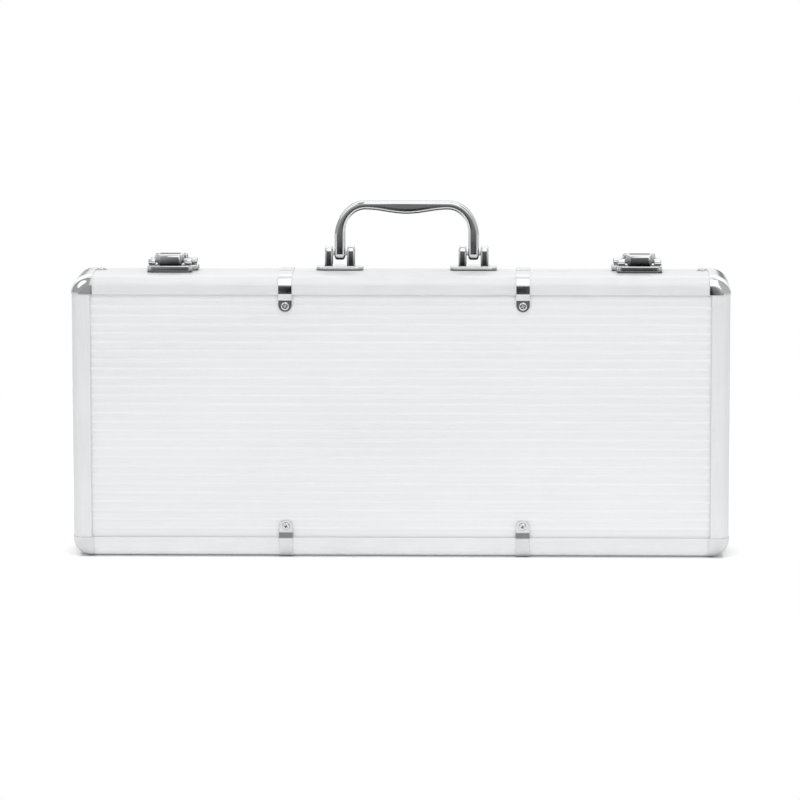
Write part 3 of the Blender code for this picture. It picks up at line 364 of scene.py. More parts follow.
# %% Helpers for finishes
def principled(name, colour, roughness, metallic):
    """Start a finish from a Principled shader."""
    made = bpy.data.materials.new(name)
    made.use_nodes = True
    made.diffuse_color = (*colour, 1)
    shader = made.node_tree.nodes["Principled BSDF"]
    shader.inputs["Base Color"].default_value = (*colour, 1)
    shader.inputs["Roughness"].default_value = roughness
    shader.inputs["Metallic"].default_value = metallic
    place = node(made.node_tree, "ShaderNodeTexCoord")
    return made, made.node_tree, shader, place.outputs["Object"]


def noise(tree, place, scale, stretch=(1, 1, 1), detail=4.0):
    """Noise on Object coordinates, drawn out along an axis if wished."""
    turned = node(tree, "ShaderNodeMapping", Scale=stretch)
    made = node(tree, "ShaderNodeTexNoise", Scale=scale, Detail=detail)
    link(tree, place, turned.inputs["Vector"], turned.outputs["Vector"], made.inputs["Vector"])
    return made.outputs[0]


def tint(tree, shader, value, dark, light, start=0.3, stop=0.7):
    """Drive the colour between two shades."""
    ramp = node(tree, "ShaderNodeValToRGB")
    ramp.color_ramp.elements[0].position = start
    ramp.color_ramp.elements[0].color = (*dark, 1)
    ramp.color_ramp.elements[1].position = stop
    ramp.color_ramp.elements[1].color = (*light, 1)
    link(tree, value, ramp.inputs["Fac"], ramp.outputs["Color"], shader.inputs["Base Color"])
    return ramp.outputs["Color"]


def gloss(tree, shader, value, low, high, start=0.3, stop=0.7):
    """Drive the roughness between two values."""
    spread = node(tree, "ShaderNodeMapRange", From_Min=start, From_Max=stop, To_Min=low, To_Max=high)
    link(tree, value, spread.inputs["Value"], spread.outputs[0], shader.inputs["Roughness"])


def relief(tree, shader, value, depth, strength=1.0):
    """Turn a pattern into a fine relief of a real depth."""
    bump = node(tree, "ShaderNodeBump", Strength=strength, Distance=depth)
    link(tree, value, bump.inputs["Height"], bump.outputs["Normal"], shader.inputs["Normal"])


def weigh(tree, first, share, second, other_share):
    """Add two patterns by weight."""
    first = maths(tree, "MULTIPLY", first, share)
    second = maths(tree, "MULTIPLY", second, other_share)
    return maths(tree, "ADD", first, second)


finishes = {}

# %% [markdown]
# The rails are extruded, so faint die lines run along each of them, under a satin
# anodised layer. Two finishes differ only in the way the lines run: along X for the long
# rails and along Z for the uprights. Handling has rubbed the layer a little brighter and
# rougher in soft patches.

# %% Rails
rail_colour = (0.862, 0.869, 0.882)
rail_dull = (0.812, 0.82, 0.834)
for name, stretch in (("rail_aluminium", (0.02, 1, 1)), ("rail_aluminium_upright", (1, 1, 0.02))):
    made, tree, shader, place = principled(name, rail_colour, 0.4, 0.25)
    lines = noise(tree, place, 1400, stretch, 3)
    patches = noise(tree, place, 26)
    worn = weigh(tree, lines, 0.5, patches, 0.5)
    tint(tree, shader, worn, rail_dull, rail_colour, 0.36, 0.6)
    gloss(tree, shader, worn, 0.34, 0.5, 0.36, 0.62)
    relief(tree, shader, lines, 0.00001, 0.35)
    finishes[name] = made

# %% [markdown]
# The ribbed skin is thinner sheet with a milled face. Its grain runs along the ribs, and
# large, very faint clouds show where the sheet isn't quite even.

# %% Ribbed skin
skin_colour = (0.905, 0.912, 0.925)
skin_dull = (0.862, 0.87, 0.885)
made, tree, shader, place = principled("panel_aluminium", skin_colour, 0.45, 0.22)
grain = noise(tree, place, 1800, (0.012, 1, 1), 4)
clouds = noise(tree, place, 9, (0.5, 1, 1.4), 3)
mixed = weigh(tree, grain, 0.55, clouds, 0.45)
tint(tree, shader, mixed, skin_dull, skin_colour, 0.36, 0.62)
gloss(tree, shader, mixed, 0.38, 0.54, 0.36, 0.62)
relief(tree, shader, grain, 0.00001, 0.3)
finishes["panel_aluminium"] = made

# %% [markdown]
# The caps, clips, screws, handle and latches are chromed. Chrome is nearly a mirror, so
# what tells it apart is small: hairline scratches that cross each other, a faint haze
# where it is touched, and the soft waviness of pressed sheet under the plating. The castings,
# the lower clips and their screws get a near-black painted shade on their undersides, the
# clips' steps and the screws' recesses. An attribute on the points says where it is painted.

# %% Chrome
chrome_colour = (0.84, 0.845, 0.855)
chrome_hazed = (0.79, 0.795, 0.805)
# Near-black colour of the painted shade on undersides and in recesses.
painted_shade = (0.035, 0.035, 0.038)
for name in ("chrome", "cast_chrome"):
    made, tree, shader, place = principled(name, chrome_colour, 0.06, 1.0)
    haze = noise(tree, place, 90, (1, 1, 1), 5)
    first = noise(tree, place, 900, (0.04, 1, 1), 2)
    second = noise(tree, place, 900, (1, 0.6, 0.05), 2)
    scratches = maths(tree, "MULTIPLY", first, second)
    waves = noise(tree, place, 260, (1, 1, 1), 1)
    plated = tint(tree, shader, haze, chrome_hazed, chrome_colour, 0.35, 0.6)
    # Cast chrome mixes in this painted shade where the attribute marks it.
    if name == "cast_chrome":
        side = node(tree, "ShaderNodeAttribute")
        side.attribute_name = "painted_shade"
        shade = node(tree, "ShaderNodeMix")
        shade.data_type = "RGBA"
        shade.inputs[7].default_value = (*painted_shade, 1)
        link(tree, side.outputs["Fac"], shade.inputs[0], plated, shade.inputs[6],
             shade.outputs[2], shader.inputs["Base Color"])
    gloss(tree, shader, maths(tree, "ADD", haze, scratches), 0.035, 0.11, 0.55, 1.0)
    relief(tree, shader, weigh(tree, waves, 1.0, scratches, 0.2), 0.00002, 0.25)
    finishes[name] = made

# %% [markdown]
# The hinges, pins and claws are zinc-plated steel. The plating is duller than chrome and
# slightly mottled, with a fine grain from rolling.

# %% Zinc-plated steel
zinc_colour = (0.67, 0.68, 0.69)
zinc_dull = (0.52, 0.53, 0.54)
made, tree, shader, place = principled("zinc_steel", zinc_colour, 0.3, 1.0)
cells = node(tree, "ShaderNodeTexVoronoi", Scale=520.0)
link(tree, place, cells.inputs["Vector"])
mottle = weigh(tree, cells.outputs["Distance"], 0.5, noise(tree, place, 220), 0.6)
tint(tree, shader, mottle, zinc_dull, zinc_colour, 0.3, 0.75)
gloss(tree, shader, mottle, 0.22, 0.42, 0.3, 0.75)
relief(tree, shader, noise(tree, place, 1500, (0.1, 1, 1), 3), 0.00001, 0.4)
finishes["zinc_steel"] = made

# %% [markdown]
# The boards behind the skins are brown fibre board: short fibres, a mottled colour and a
# matt, slightly rough face.

# %% Fibre board
board_dark = (0.22, 0.15, 0.095)
board_light = (0.40, 0.29, 0.19)
made, tree, shader, place = principled("fibre_board", board_light, 0.85, 0.0)
threads = noise(tree, place, 900, (0.25, 1, 1), 6)
tufts = noise(tree, place, 160, (1, 1, 0.3), 5)
fibres = weigh(tree, threads, 0.6, tufts, 0.4)
tint(tree, shader, fibres, board_dark, board_light, 0.35, 0.65)
gloss(tree, shader, fibres, 0.75, 0.92)
relief(tree, shader, fibres, 0.0001, 0.5)
finishes["fibre_board"] = made

# %% [markdown]
# The trays are flocked: short black fibres stand on the formed sheet. They drink the
# light from straight ahead and glow a little at the edges, which is what Sheen is for,
# and their lean varies in soft clouds.

# %% Flock
flock_black = (0.012, 0.012, 0.014)
flock_lit = (0.035, 0.035, 0.039)
made, tree, shader, place = principled("black_flock", flock_black, 0.95, 0.0)
shader.inputs["Sheen Weight"].default_value = 0.6
shader.inputs["Sheen Roughness"].default_value = 0.45
shader.inputs["Sheen Tint"].default_value = (0.5, 0.5, 0.54, 1)
shader.inputs["Specular IOR Level"].default_value = 0.15
fibres = noise(tree, place, 2600, (1, 1, 1), 3)
lean = noise(tree, place, 45, (1, 1, 1), 4)
pile = weigh(tree, fibres, 0.55, lean, 0.45)
tint(tree, shader, pile, flock_black, flock_lit, 0.38, 0.66)
gloss(tree, shader, pile, 0.88, 1.0)
relief(tree, shader, pile, 0.0003, 0.8)
finishes["black_flock"] = made

# %% [markdown]
# The lid's pad is open-cell foam. Its cells are a Voronoi pattern about a millimetre
# wide, sunk as small pits by the relief. Their colour paints light on the walls between
# them and shade in the pits.

# %% Foam
foam_black = (0.010, 0.010, 0.012)
foam_wall = (0.055, 0.055, 0.060)
made, tree, shader, place = principled("black_foam", foam_wall, 0.95, 0.0)
shader.inputs["Specular IOR Level"].default_value = 0.2
cells = node(tree, "ShaderNodeTexVoronoi", Scale=1100.0)
cells.feature = "DISTANCE_TO_EDGE"
link(tree, place, cells.inputs["Vector"])
pits_and_shade = weigh(tree, cells.outputs["Distance"], -1.4, noise(tree, place, 60), 0.8)
# Painted light on the cell walls and painted shade in the pits.
tint(tree, shader, pits_and_shade, foam_black, foam_wall, -0.1, 0.5)
gloss(tree, shader, pits_and_shade, 0.85, 1.0)
relief(tree, shader, pits_and_shade, 0.0004, 0.8)
finishes["black_foam"] = made

# %% Dress the model's pieces
slot_of = {row["node"]: row["material_slot"] for row in frame["record"]["subparts"]}
for name, piece in frame["nodes"].items():
    piece.data.materials.clear()
    piece.data.materials.append(finishes[slot_of[name]])
print("finishes:", ", ".join(finishes))

# %% [markdown]
# ## Working in edit mode
#
# Each new part starts as a primitive at its real size and is then shaped in edit mode, the
# way it is done by hand. An operator acts on whatever is selected, so every part starts
# with nothing selected, and its faces or edges are picked by their place and direction.

# %% Edit mode helpers
def choose(*pieces):
    """Select some pieces and nothing else, with the first one active."""
    bpy.ops.object.select_all(action="DESELECT")
    for piece in pieces:
        piece.select_set(True)
    bpy.context.view_layer.objects.active = pieces[0]


def freeze():
    """Write a piece's place, turn and scale into its mesh."""
    bpy.ops.object.transform_apply(location=True, rotation=True, scale=True)


def pick_all():
    """Select the whole mesh."""
    bpy.ops.mesh.select_all(action="SELECT")


def face_out():
    """Turn the faces of the whole mesh outwards."""
    pick_all()
    bpy.ops.mesh.normals_make_consistent(inside=False)


def extrude(move):
    """Extrude what is selected by a move."""
    bpy.ops.mesh.extrude_region_move(TRANSFORM_OT_translate={"value": move})


def slide(move):
    """Move what is selected."""
    bpy.ops.transform.translate(value=move)


def resize(value, centre=None):
    """Scale what is selected, about a centre or about its own middle."""
    about = {} if centre is None else {"center_override": centre}
    bpy.ops.transform.resize(value=value, **about)


def begin(piece):
    """Open one piece in edit mode with nothing selected."""
    choose(piece)
    bpy.ops.object.mode_set(mode="EDIT")
    bpy.ops.mesh.select_all(action="DESELECT")


def end():
    """Go back to object mode."""
    bpy.ops.object.mode_set(mode="OBJECT")


def pick(kind, test):
    """Select the vertices, edges or faces that pass a test."""
    bpy.ops.mesh.select_mode(type=kind)
    bpy.ops.mesh.select_all(action="DESELECT")
    shape = bmesh.from_edit_mesh(bpy.context.object.data)
    shape.normal_update()
    items = {"VERT": shape.verts, "EDGE": shape.edges, "FACE": shape.faces}[kind]
    chosen = [item for item in items if test(item)]
    for item in chosen:
        item.select_set(True)
    shape.select_flush_mode()
    bmesh.update_edit_mesh(bpy.context.object.data)


def middle(item):
    """Middle of an edge or a face."""
    return sum((corner.co for corner in item.verts), Vector()) / len(item.verts)


def along(edge, axis):
    """Whether an edge runs along an axis."""
    way = (edge.verts[1].co - edge.verts[0].co).normalized()
    return abs(way[axis]) > 0.999


def near(a, b, reach=0.00002):
    """Whether two lengths are the same."""
    return abs(a - b) < reach


def sharp(edge, degrees=30):
    """Whether an edge is a corner between two faces."""
    return len(edge.link_faces) == 2 and edge.calc_face_angle() > math.radians(degrees)


def bevel(offset, segments, kind="EDGES", profile=0.5):
    """Bevel what is selected."""
    bpy.ops.mesh.bevel(offset=offset, segments=segments, affect=kind, profile=profile)


def block(name, low, high):
    """Add a cube between two corners and open it in edit mode."""
    low = Vector(low)
    high = Vector(high)
    bpy.ops.mesh.primitive_cube_add(size=1, location=(low + high) / 2, scale=high - low)
    piece = bpy.context.object
    piece.name = name
    freeze()
    begin(piece)
    return piece


def bent_line(name, spots):
    """Draw a line from spot to spot by extruding one vertex, and stay in edit mode."""
    bpy.ops.mesh.primitive_plane_add(size=1, location=(0, 0, 0))
    piece = bpy.context.object
    piece.name = name
    begin(piece)
    bpy.ops.mesh.select_mode(type="VERT")
    pick_all()
    bpy.ops.mesh.merge(type="CENTER")
    slide(spots[0])
    for last, spot in zip(spots, spots[1:]):
        move = [b - a for a, b in zip(last, spot)]
        extrude(move)
    return piece


def apply_modifier(piece, kind, **settings):
    """Add a modifier with its settings and apply it."""
    choose(piece)
    change = piece.modifiers.new(kind.lower(), kind)
    for setting, value in settings.items():
        setattr(change, setting, value)
    bpy.ops.object.modifier_apply(modifier=change.name)


def join(*pieces):
    """Join pieces into the first one."""
    choose(*pieces)
    bpy.ops.object.join()
    return pieces[0]


def thicken(piece, thickness):
    """Give a sheet its thickness, inwards from its face."""
    apply_modifier(piece, "SOLIDIFY", thickness=thickness, offset=-1.0, use_even_offset=True)


def ease_edges(piece, width, segments, degrees):
    """Bevel every edge that is sharper than some degrees."""
    apply_modifier(piece, "BEVEL", width=width, segments=segments, limit_method="ANGLE",
                   angle_limit=math.radians(degrees))


# The default painted shade mask: undersides are painted darker the more they face down.
def facing_down(point):
    """How far a point of a mesh faces down, from 0 to 1."""
    share = min(max((-point.normal.z - 0.42) / 0.22, 0.0), 1.0)
    return share * share * (3 - 2 * share)


def mark_painted_shade(piece, share_at):
    """Store where shade is painted, as an attribute that the finish reads."""
    mark = piece.data.attributes.new("painted_shade", "FLOAT", "POINT")
    for point, value in zip(piece.data.vertices, mark.data):
        value.value = share_at(point)


def settle(piece, name, finish, nodes, angle=32, weighted=True, shade_at=facing_down):
    """Shade a piece, dress it, and let it stand for its nodes in the model."""
    if bpy.context.mode != "OBJECT":
        end()
    choose(piece)
    freeze()
    bpy.ops.object.shade_smooth_by_angle(angle=math.radians(angle))
    if weighted:
        apply_modifier(piece, "WEIGHTED_NORMAL", keep_sharp=True)
    # Cast chrome stores its painted shade mask here.
    if finish == "cast_chrome":
        mark_painted_shade(piece, shade_at)
    piece.name = name
    piece.data.name = name
    piece.data.materials.clear()
    piece.data.materials.append(finishes[finish])
    body = frame["nodes"][nodes[0]]["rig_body"]
    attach(piece, body)
    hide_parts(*nodes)
    print(name, len(piece.data.polygons), "faces")
    return piece


def twin(piece):
    """Copy a piece with a mesh of its own."""
    other = piece.copy()
    other.data = piece.data.copy()
    bpy.context.scene.collection.objects.link(other)
    return other


def mirror(piece, shares, centre):
    """Mirror a piece about a point, faces kept outwards."""
    begin(piece)
    pick_all()
    resize(shares, centre)
    bpy.ops.mesh.flip_normals()
    end()


# %% [markdown]
# ## The handle
#
# The handle is one bright casting: two legs, two wide bends and a bar with a belly for the
# fingers. Its front is flat with a broad chamfer all round. The outline is drawn flat
# first. Two rectangles get one rounded corner each, one for the outer edge and one for the
# inner edge, and a bridge fills the strip between them. The strip is extruded to its depth,
# its feet are rounded, and the chamfers come last.

# %% Handle outline
case_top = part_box("base_rail_top")[1].z
joint_at = {joint["name"]: Vector(joint["pos_m"]) for joint in frame["joints"]}
handle_low, handle_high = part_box("handle")
handle_x = (handle_low.x + handle_high.x) / 2
handle_outer = (handle_high.x - handle_low.x) / 2
leg_width = 9.3 * MM
bar_thickness = 7.4 * MM
belly = 3.8 * MM
outer_bend = (26.7 * MM, 31.6 * MM)
inner_bend = (17.7 * MM, 19.9 * MM)
bend_segments = 20
bar_cuts = 11
pivot = joint_at["handle_swing"]


def round_corner_line(name, reach, rise, bend):
    """Draw a leg and half a bar as edges with one elliptical corner between them."""
    wide, tall = bend
    stretch = tall / wide
    bpy.ops.mesh.primitive_plane_add(size=1, location=(0, 0, 0))
    line = bpy.context.object
    line.name = name
    begin(line)
    pick_all()
    bpy.ops.transform.rotate(value=math.pi / 2, orient_axis="X", center_override=(0, 0, 0))
    resize((reach * stretch, 1, rise - pivot.z), (0, 0, 0))
    shift = (reach * stretch / 2, handle_low.y, (rise + pivot.z) / 2)
    slide(shift)
    pick("VERT", lambda v: v.co.x > reach / 2 and near(v.co.z, rise))
    bevel(tall, bend_segments, "VERTICES")
    pick("EDGE", lambda e: near(middle(e).x, 0) or near(middle(e).z, pivot.z))
    bpy.ops.mesh.delete(type="EDGE_FACE")
    pick_all()
    bpy.ops.mesh.delete(type="ONLY_FACE")
    pick("EDGE", lambda e: near(middle(e).z, rise) and e.calc_length() > 0.01)
    bpy.ops.mesh.subdivide(number_cuts=bar_cuts)
    pick_all()
    resize((1 / stretch, 1, 1), (0, 0, 0))
    end()
    return line


outer_line = round_corner_line("handle", handle_outer, handle_high.z, outer_bend)
inner_line = round_corner_line("inner_edge", handle_outer - leg_width, handle_high.z - bar_thickness,
                               inner_bend)
print("points on each edge:", len(outer_line.data.vertices), len(inner_line.data.vertices))

# %% Handle body
foot_radius = (handle_high.y - handle_low.y) / 2
chamfer = 2.3 * MM
foot_segments = 10

handle = join(outer_line, inner_line)
begin(handle)
pick_all()
bpy.ops.mesh.bridge_edge_loops()
under_bar = handle_high.z - bar_thickness
flat_span = handle_outer - leg_width - inner_bend[0]
for vertex in bmesh.from_edit_mesh(handle.data).verts:
    if near(vertex.co.z, under_bar) and vertex.co.x < flat_span + MM:
        vertex.co.z -= belly * (1 + math.cos(math.pi * min(vertex.co.x / flat_span, 1))) / 2
pick_all()
extrude((0, 2 * foot_radius, 0))
face_out()
pick("FACE", lambda f: near(middle(f).z, pivot.z))
slide((0, 0, -foot_radius))
pick("FACE", lambda f: near(middle(f).x, 0) and abs(f.normal.x) > 0.9)
bpy.ops.mesh.delete(type="ONLY_FACE")
pick("EDGE", lambda e: along(e, 0) and near(middle(e).z, pivot.z - foot_radius))
bevel(foot_radius * 0.98, foot_segments)
pick("EDGE", lambda e: len(e.link_faces) == 2 and sharp(e, 50)
     and any(abs(f.normal.x) > 0.02 or f.normal.z ** 2 > 0.5 for f in e.link_faces))
bevel(chamfer, 5, profile=0.42)
pick_all()
bpy.ops.mesh.remove_doubles(threshold=0.00001)
end()
apply_modifier(handle, "MIRROR", use_axis=(True, False, False), merge_threshold=0.00005)
begin(handle)
pick_all()
slide((handle_x, 0, 0))
settle(handle, "bail_handle", "cast_chrome", ["handle"])
# %% [markdown]
# ## The handle's brackets
#
# Each bracket is a flat foot with a raised middle and two posts that hold the handle's
# foot between them. A block is given round corners and then a rolled upper edge by two
# bevels. The posts are blocks too: one wide bevel rounds each over the top, and a narrow
# one softens its edges, so that the polish shows white lines down both sides.

# %% Brackets
plate_corner = 6.2 * MM
plate_roll = 0.5 * MM
plate_height = 3.1 * MM
seat_height = 3.9 * MM
post_width = 6.8 * MM
post_gap = 12.4 * MM
post_half_depth = 6.4 * MM
post_top_round = 4.2 * MM
post_round = 1.7 * MM


def rounded_plate(name, low, high, corner, roll, segments=8):
    """Block with round corners in plan and a rolled upper edge."""
    piece = block(name, low, high)
    pick("EDGE", lambda e: along(e, 2))
    bevel(corner, segments)
    pick("EDGE", lambda e: sharp(e, 60) and near(middle(e).z, high[2]))
    bevel(roll, 5)
    end()
    return piece


def make_post(name, x, y, floor_z, axis_z):
    """Round-topped post, centred on x and y."""
    half = post_width / 2
    top = axis_z + post_half_depth
    piece = block(name, (x - half, y - post_half_depth, floor_z), (x + half, y + post_half_depth, top))
    pick("EDGE", lambda e: along(e, 0) and near(middle(e).z, top))
    bevel(post_top_round, 10)
    pick("EDGE", lambda e: sharp(e, 50) and middle(e).z > floor_z + MM / 2)
    bevel(post_round, 5)
    end()
    return piece


for side in ("left", "right"):
    low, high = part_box("handle_bracket_" + side)
    axis = (low + high) / 2
    bracket = rounded_plate("bracket", low, (high.x, high.y, case_top + plate_height), plate_corner,
                            plate_roll)
    reach = post_gap / 2 + post_width + 0.8 * MM
    seat = rounded_plate("seat", (axis.x - reach, low.y + 0.3 * MM, low.z),
                         (axis.x + reach, high.y - 0.3 * MM, case_top + seat_height), 1.2 * MM, 0.6 * MM, 3)
    spread = (post_gap + post_width) / 2
    posts = [make_post("post", axis.x + way * spread, axis.y, case_top + plate_height / 2, pivot.z)
             for way in (-1, 1)]
    join(bracket, seat, *posts)
    settle(bracket, "handle_mount_" + side, "cast_chrome", ["handle_bracket_" + side])

# %% [markdown]
# ## The latches
#
# A draw latch has a keeper on the lid and a lever on the base. The keeper is a pressed
# plate with a barrel on each side. The lever is a pressed cover, open underneath, and it
# gets wider towards its pin. It starts as a block whose rear face is extruded three times
# and scaled twice. An inset opens its underside, and bevels roll its edges.

# %% Keepers and latch bases
keeper_roll = 0.9 * MM
keeper_corner = 4.6 * MM
keeper_height = 5.9 * MM
base_height = 4.8 * MM
barrel_radius = 2.7 * MM
barrel_lift = 9.2 * MM
barrel_round = 0.9 * MM
neck_width = 2.6 * MM
neck_inset = 0.7 * MM
lever_half = 14.25 * MM
keeper_barrel = (12.4 * MM, 18.9 * MM)
keeper_barrel_in = 5.7 * MM
base_roll = 1.2 * MM
base_barrel_gap = 0.3 * MM
base_barrel_end = 1.3 * MM
drill_share = 0.38
drill_depth = 0.8 * MM


def barrel(name, x_ends, y, z, radius):
    """Barrel along X with round ends and a drilled outer end."""
    first, last = x_ends
    bpy.ops.mesh.primitive_cylinder_add(vertices=28, radius=radius, depth=abs(last - first),
                                        location=((first + last) / 2, y, z), rotation=(0, math.pi / 2, 0))
    piece = bpy.context.object
    piece.name = name
    freeze()
    begin(piece)
    pick("FACE", lambda f: abs(f.normal.x) > 0.9)
    bpy.ops.mesh.inset(thickness=radius * (1 - drill_share), depth=0)
    extrude((0, 0, 0))
    for way in (-1, 1):
        pick("FACE", lambda f: f.normal.x * way > 0.9 and f.calc_area() < 4 * (radius * drill_share) ** 2
             and near(abs(middle(f).y - y) + abs(middle(f).z - z), 0, 0.0001))
        slide((-way * drill_depth, 0, 0))
    pick("EDGE", lambda e: sharp(e, 60) and (middle(e) - Vector((middle(e).x, y, z))).length > radius * 0.8)
    bevel(barrel_round, 4)
    end()
    return piece


def make_neck(x_ends, y, low_z, high_z):
    """Neck that carries a barrel."""
    first, last = sorted(x_ends)
    half = neck_width / 2
    piece = block("neck", (first + neck_inset, y - half, low_z),
                  (last - neck_inset, y + half, high_z))
    pick("EDGE", lambda e: along(e, 2))
    bevel(0.5 * MM, 3)
    end()
    return piece


for side in ("left", "right"):
    hinge = joint_at[side + "_lever_throw"]
    low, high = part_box("keeper_" + side)
    keeper = rounded_plate("keeper", low, (high.x, high.y, case_top + keeper_height), keeper_corner,
                           keeper_roll)
    parts = [keeper]
    for way in (-1, 1):
        ends = [hinge.x + way * reach for reach in keeper_barrel]
        y = low.y + keeper_barrel_in
        parts.append(barrel("barrel", ends, y, case_top + barrel_lift, barrel_radius))
        parts.append(make_neck(ends, y, case_top + keeper_height / 2, case_top + barrel_lift))
    join(*parts)
    settle(keeper, "latch_keeper_" + side, "cast_chrome", ["keeper_" + side])
    low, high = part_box("latch_base_" + side)
    mount = rounded_plate("mount", low, (high.x, high.y, case_top + base_height), keeper_corner, base_roll)
    parts = [mount]
    for way, outer in ((-1, low.x), (1, high.x)):
        ends = [hinge.x + way * (lever_half + base_barrel_gap), outer - way * base_barrel_end]
        parts.append(barrel("barrel", ends, hinge.y, hinge.z, barrel_radius))
        parts.append(make_neck(ends, hinge.y, case_top + base_height / 2, hinge.z))
    join(*parts)
    settle(mount, "latch_mount_" + side, "cast_chrome", ["latch_base_" + side])

# %% Levers
tongue_half = 10.65 * MM
nose_roll = 2.3 * MM
nose_taper = 0.90
cover_roll = 1.6 * MM
shoulder = (15.9 * MM, 19.9 * MM)
rear_drop = 1.3 * MM
heel_height = 2.3 * MM
cover_wall = 1.1 * MM
body_past_pin = 1.8 * MM


def push(distance):
    """Extrude the picked face towards the back."""
    extrude((0, distance, 0))


for side in ("left", "right"):
    hinge = joint_at[side + "_lever_throw"]
    low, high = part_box("latch_lever_" + side)
    tongue_end = low.y + shoulder[0]
    body_start = low.y + shoulder[1]
    body_end = hinge.y + body_past_pin
    lever = block("lever", (hinge.x - tongue_half, low.y, low.z), (hinge.x + tongue_half, tongue_end, high.z))
    pick("FACE", lambda f: f.normal.y > 0.9)
    push(body_start - tongue_end)
    rear_scale = (high.z - rear_drop - low.z) / (high.z - low.z)
    resize((lever_half / tongue_half, 1, rear_scale), (hinge.x, body_start, low.z))
    push(body_end - body_start)
    push(high.y - body_end)
    squeeze = heel_height / (high.z - rear_drop - low.z)
    resize((1, 1, squeeze), (hinge.x, high.y, hinge.z + MM / 2))
    pick("EDGE", lambda e: along(e, 0) and near(middle(e).y, low.y) and near(middle(e).z, high.z))
    resize((nose_taper, 1, 1), (hinge.x, 0, 0))
    pick("FACE", lambda f: f.normal.z < -0.7)
    bpy.ops.mesh.inset(thickness=cover_wall, depth=0)
    bpy.ops.mesh.delete(type="FACE")
    pick("EDGE", lambda e: sharp(e, 50) and near(middle(e).y, low.y) and middle(e).z > low.z + MM / 10)
    bevel(nose_roll, 7)
    pick("EDGE", lambda e: sharp(e, 25) and middle(e).y > low.y + nose_roll and middle(e).z > low.z + MM / 2)
    bevel(cover_roll, 5)
    end()
    settle(lever, "draw_lever_" + side, "cast_chrome", ["latch_lever_" + side])

# %% [markdown]
# ## The ball corners
#
# Each corner is a cap of thin bright sheet, pressed round over the face and round in
# plan. Its section is an angle with one round corner, which is a plane with a bevelled
# vertex. Spinning that line a quarter turn about the corner's centre makes the ball, a
# short extrusion at each end makes the arms, and Solidify gives the sheet its thickness.
# The two upper caps of the base also have an ear with a domed rivet.

# %% Corner caps
sheet_gap = 0.15 * MM
sheet_wall = 0.5 * MM
corner_radius = 16 * MM
edge_radius = 9 * MM
arm_along = 2.3 * MM
arm_down = 0.4 * MM
rim_round = 0.22 * MM
lid_cap_stop = -0.05 * MM
base_cap_stop = 0.3 * MM
ear_from_face = 18.5 * MM
rail_low, rail_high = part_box("lid_rail_top")
base_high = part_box("base_rail_top")[1]
half_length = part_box("lid_rail_right")[1].x
case_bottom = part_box("lid_rail_bottom")[0].z
lid_face = rail_low.y
base_face = base_high.y


def cap_shell(name, centre, face, rim):
    """Ball corner about a centre in X and Z, from a face to its rim, for the upper right."""
    outer = corner_radius + sheet_gap + sheet_wall
    out = 1 if rim > face else -1
    skin = face - out * (sheet_gap + sheet_wall)
    bpy.ops.mesh.primitive_plane_add(size=1, location=(0, 0, 0))
    cap = bpy.context.object
    cap.name = name
    begin(cap)
    pick_all()
    resize((outer, abs(rim - skin), 1), (0, 0, 0))
    slide((centre[0] + outer / 2, (rim + skin) / 2, centre[1]))
    pick("VERT", lambda v: near(v.co.x, centre[0] + outer) and near(v.co.y, skin))
    bevel(edge_radius + sheet_gap + sheet_wall, 14, "VERTICES")
    pick("EDGE", lambda e: near(middle(e).x, centre[0]) or near(middle(e).y, rim))
    bpy.ops.mesh.delete(type="EDGE_FACE")
    pick_all()
    bpy.ops.mesh.delete(type="ONLY_FACE")
    pick_all()
    bpy.ops.mesh.spin(steps=18, angle=math.pi / 2, center=(centre[0], 0, centre[1]), axis=(0, 1, 0))
    for axis, spot in ((2, centre[1]), (0, centre[0])):
        pick("EDGE", lambda e: near(e.verts[0].co[axis], spot) and near(e.verts[1].co[axis], spot))
        way = [0, 0, 0]
        way[axis] = -arm_down if axis == 2 else -arm_along
        extrude(way)
    pick_all()
    bpy.ops.mesh.remove_doubles(threshold=0.00001)
    face_out()
    end()
    return cap


def face_outwards(piece, centre):
    """Turn an open shell's faces away from a point inside it."""
    vote = sum((face.center - centre).dot(face.normal) * face.area for face in piece.data.polygons)
    if vote < 0:
        begin(piece)
        pick_all()
        bpy.ops.mesh.flip_normals()
        end()


def make_ear(centre_x, centre_y):
    """Ear and domed rivet that lie on the top rail, pointing left from the corner."""
    reach = 12.0 * MM
    half = 5.25 * MM
    under = case_top + sheet_gap + MM / 10
    ear = block("ear", (centre_x - reach, centre_y - half, under),
                (centre_x + 2 * MM, centre_y + half, under + 0.6 * MM))
    pick("EDGE", lambda e: along(e, 2) and middle(e).x < centre_x)
    bevel(half * 0.98, 12)
    pick("EDGE", lambda e: sharp(e, 60) and near(middle(e).z, under + 0.6 * MM) and middle(e).x < centre_x)
    bevel(0.25 * MM, 3)
    end()
    spot = (centre_x - reach + half, centre_y, under + 0.5 * MM)
    bpy.ops.mesh.primitive_uv_sphere_add(segments=32, ring_count=16, radius=4.2 * MM, location=spot)
    rivet = bpy.context.object
    freeze()
    begin(rivet)
    pick_all()
    bpy.ops.mesh.bisect(plane_co=spot, plane_no=(0, 0, 1), use_fill=True, clear_inner=True)
    pick_all()
    resize((1, 1, 2.2 / 4.2), spot)
    face_out()
    end()
    return [ear, rivet]


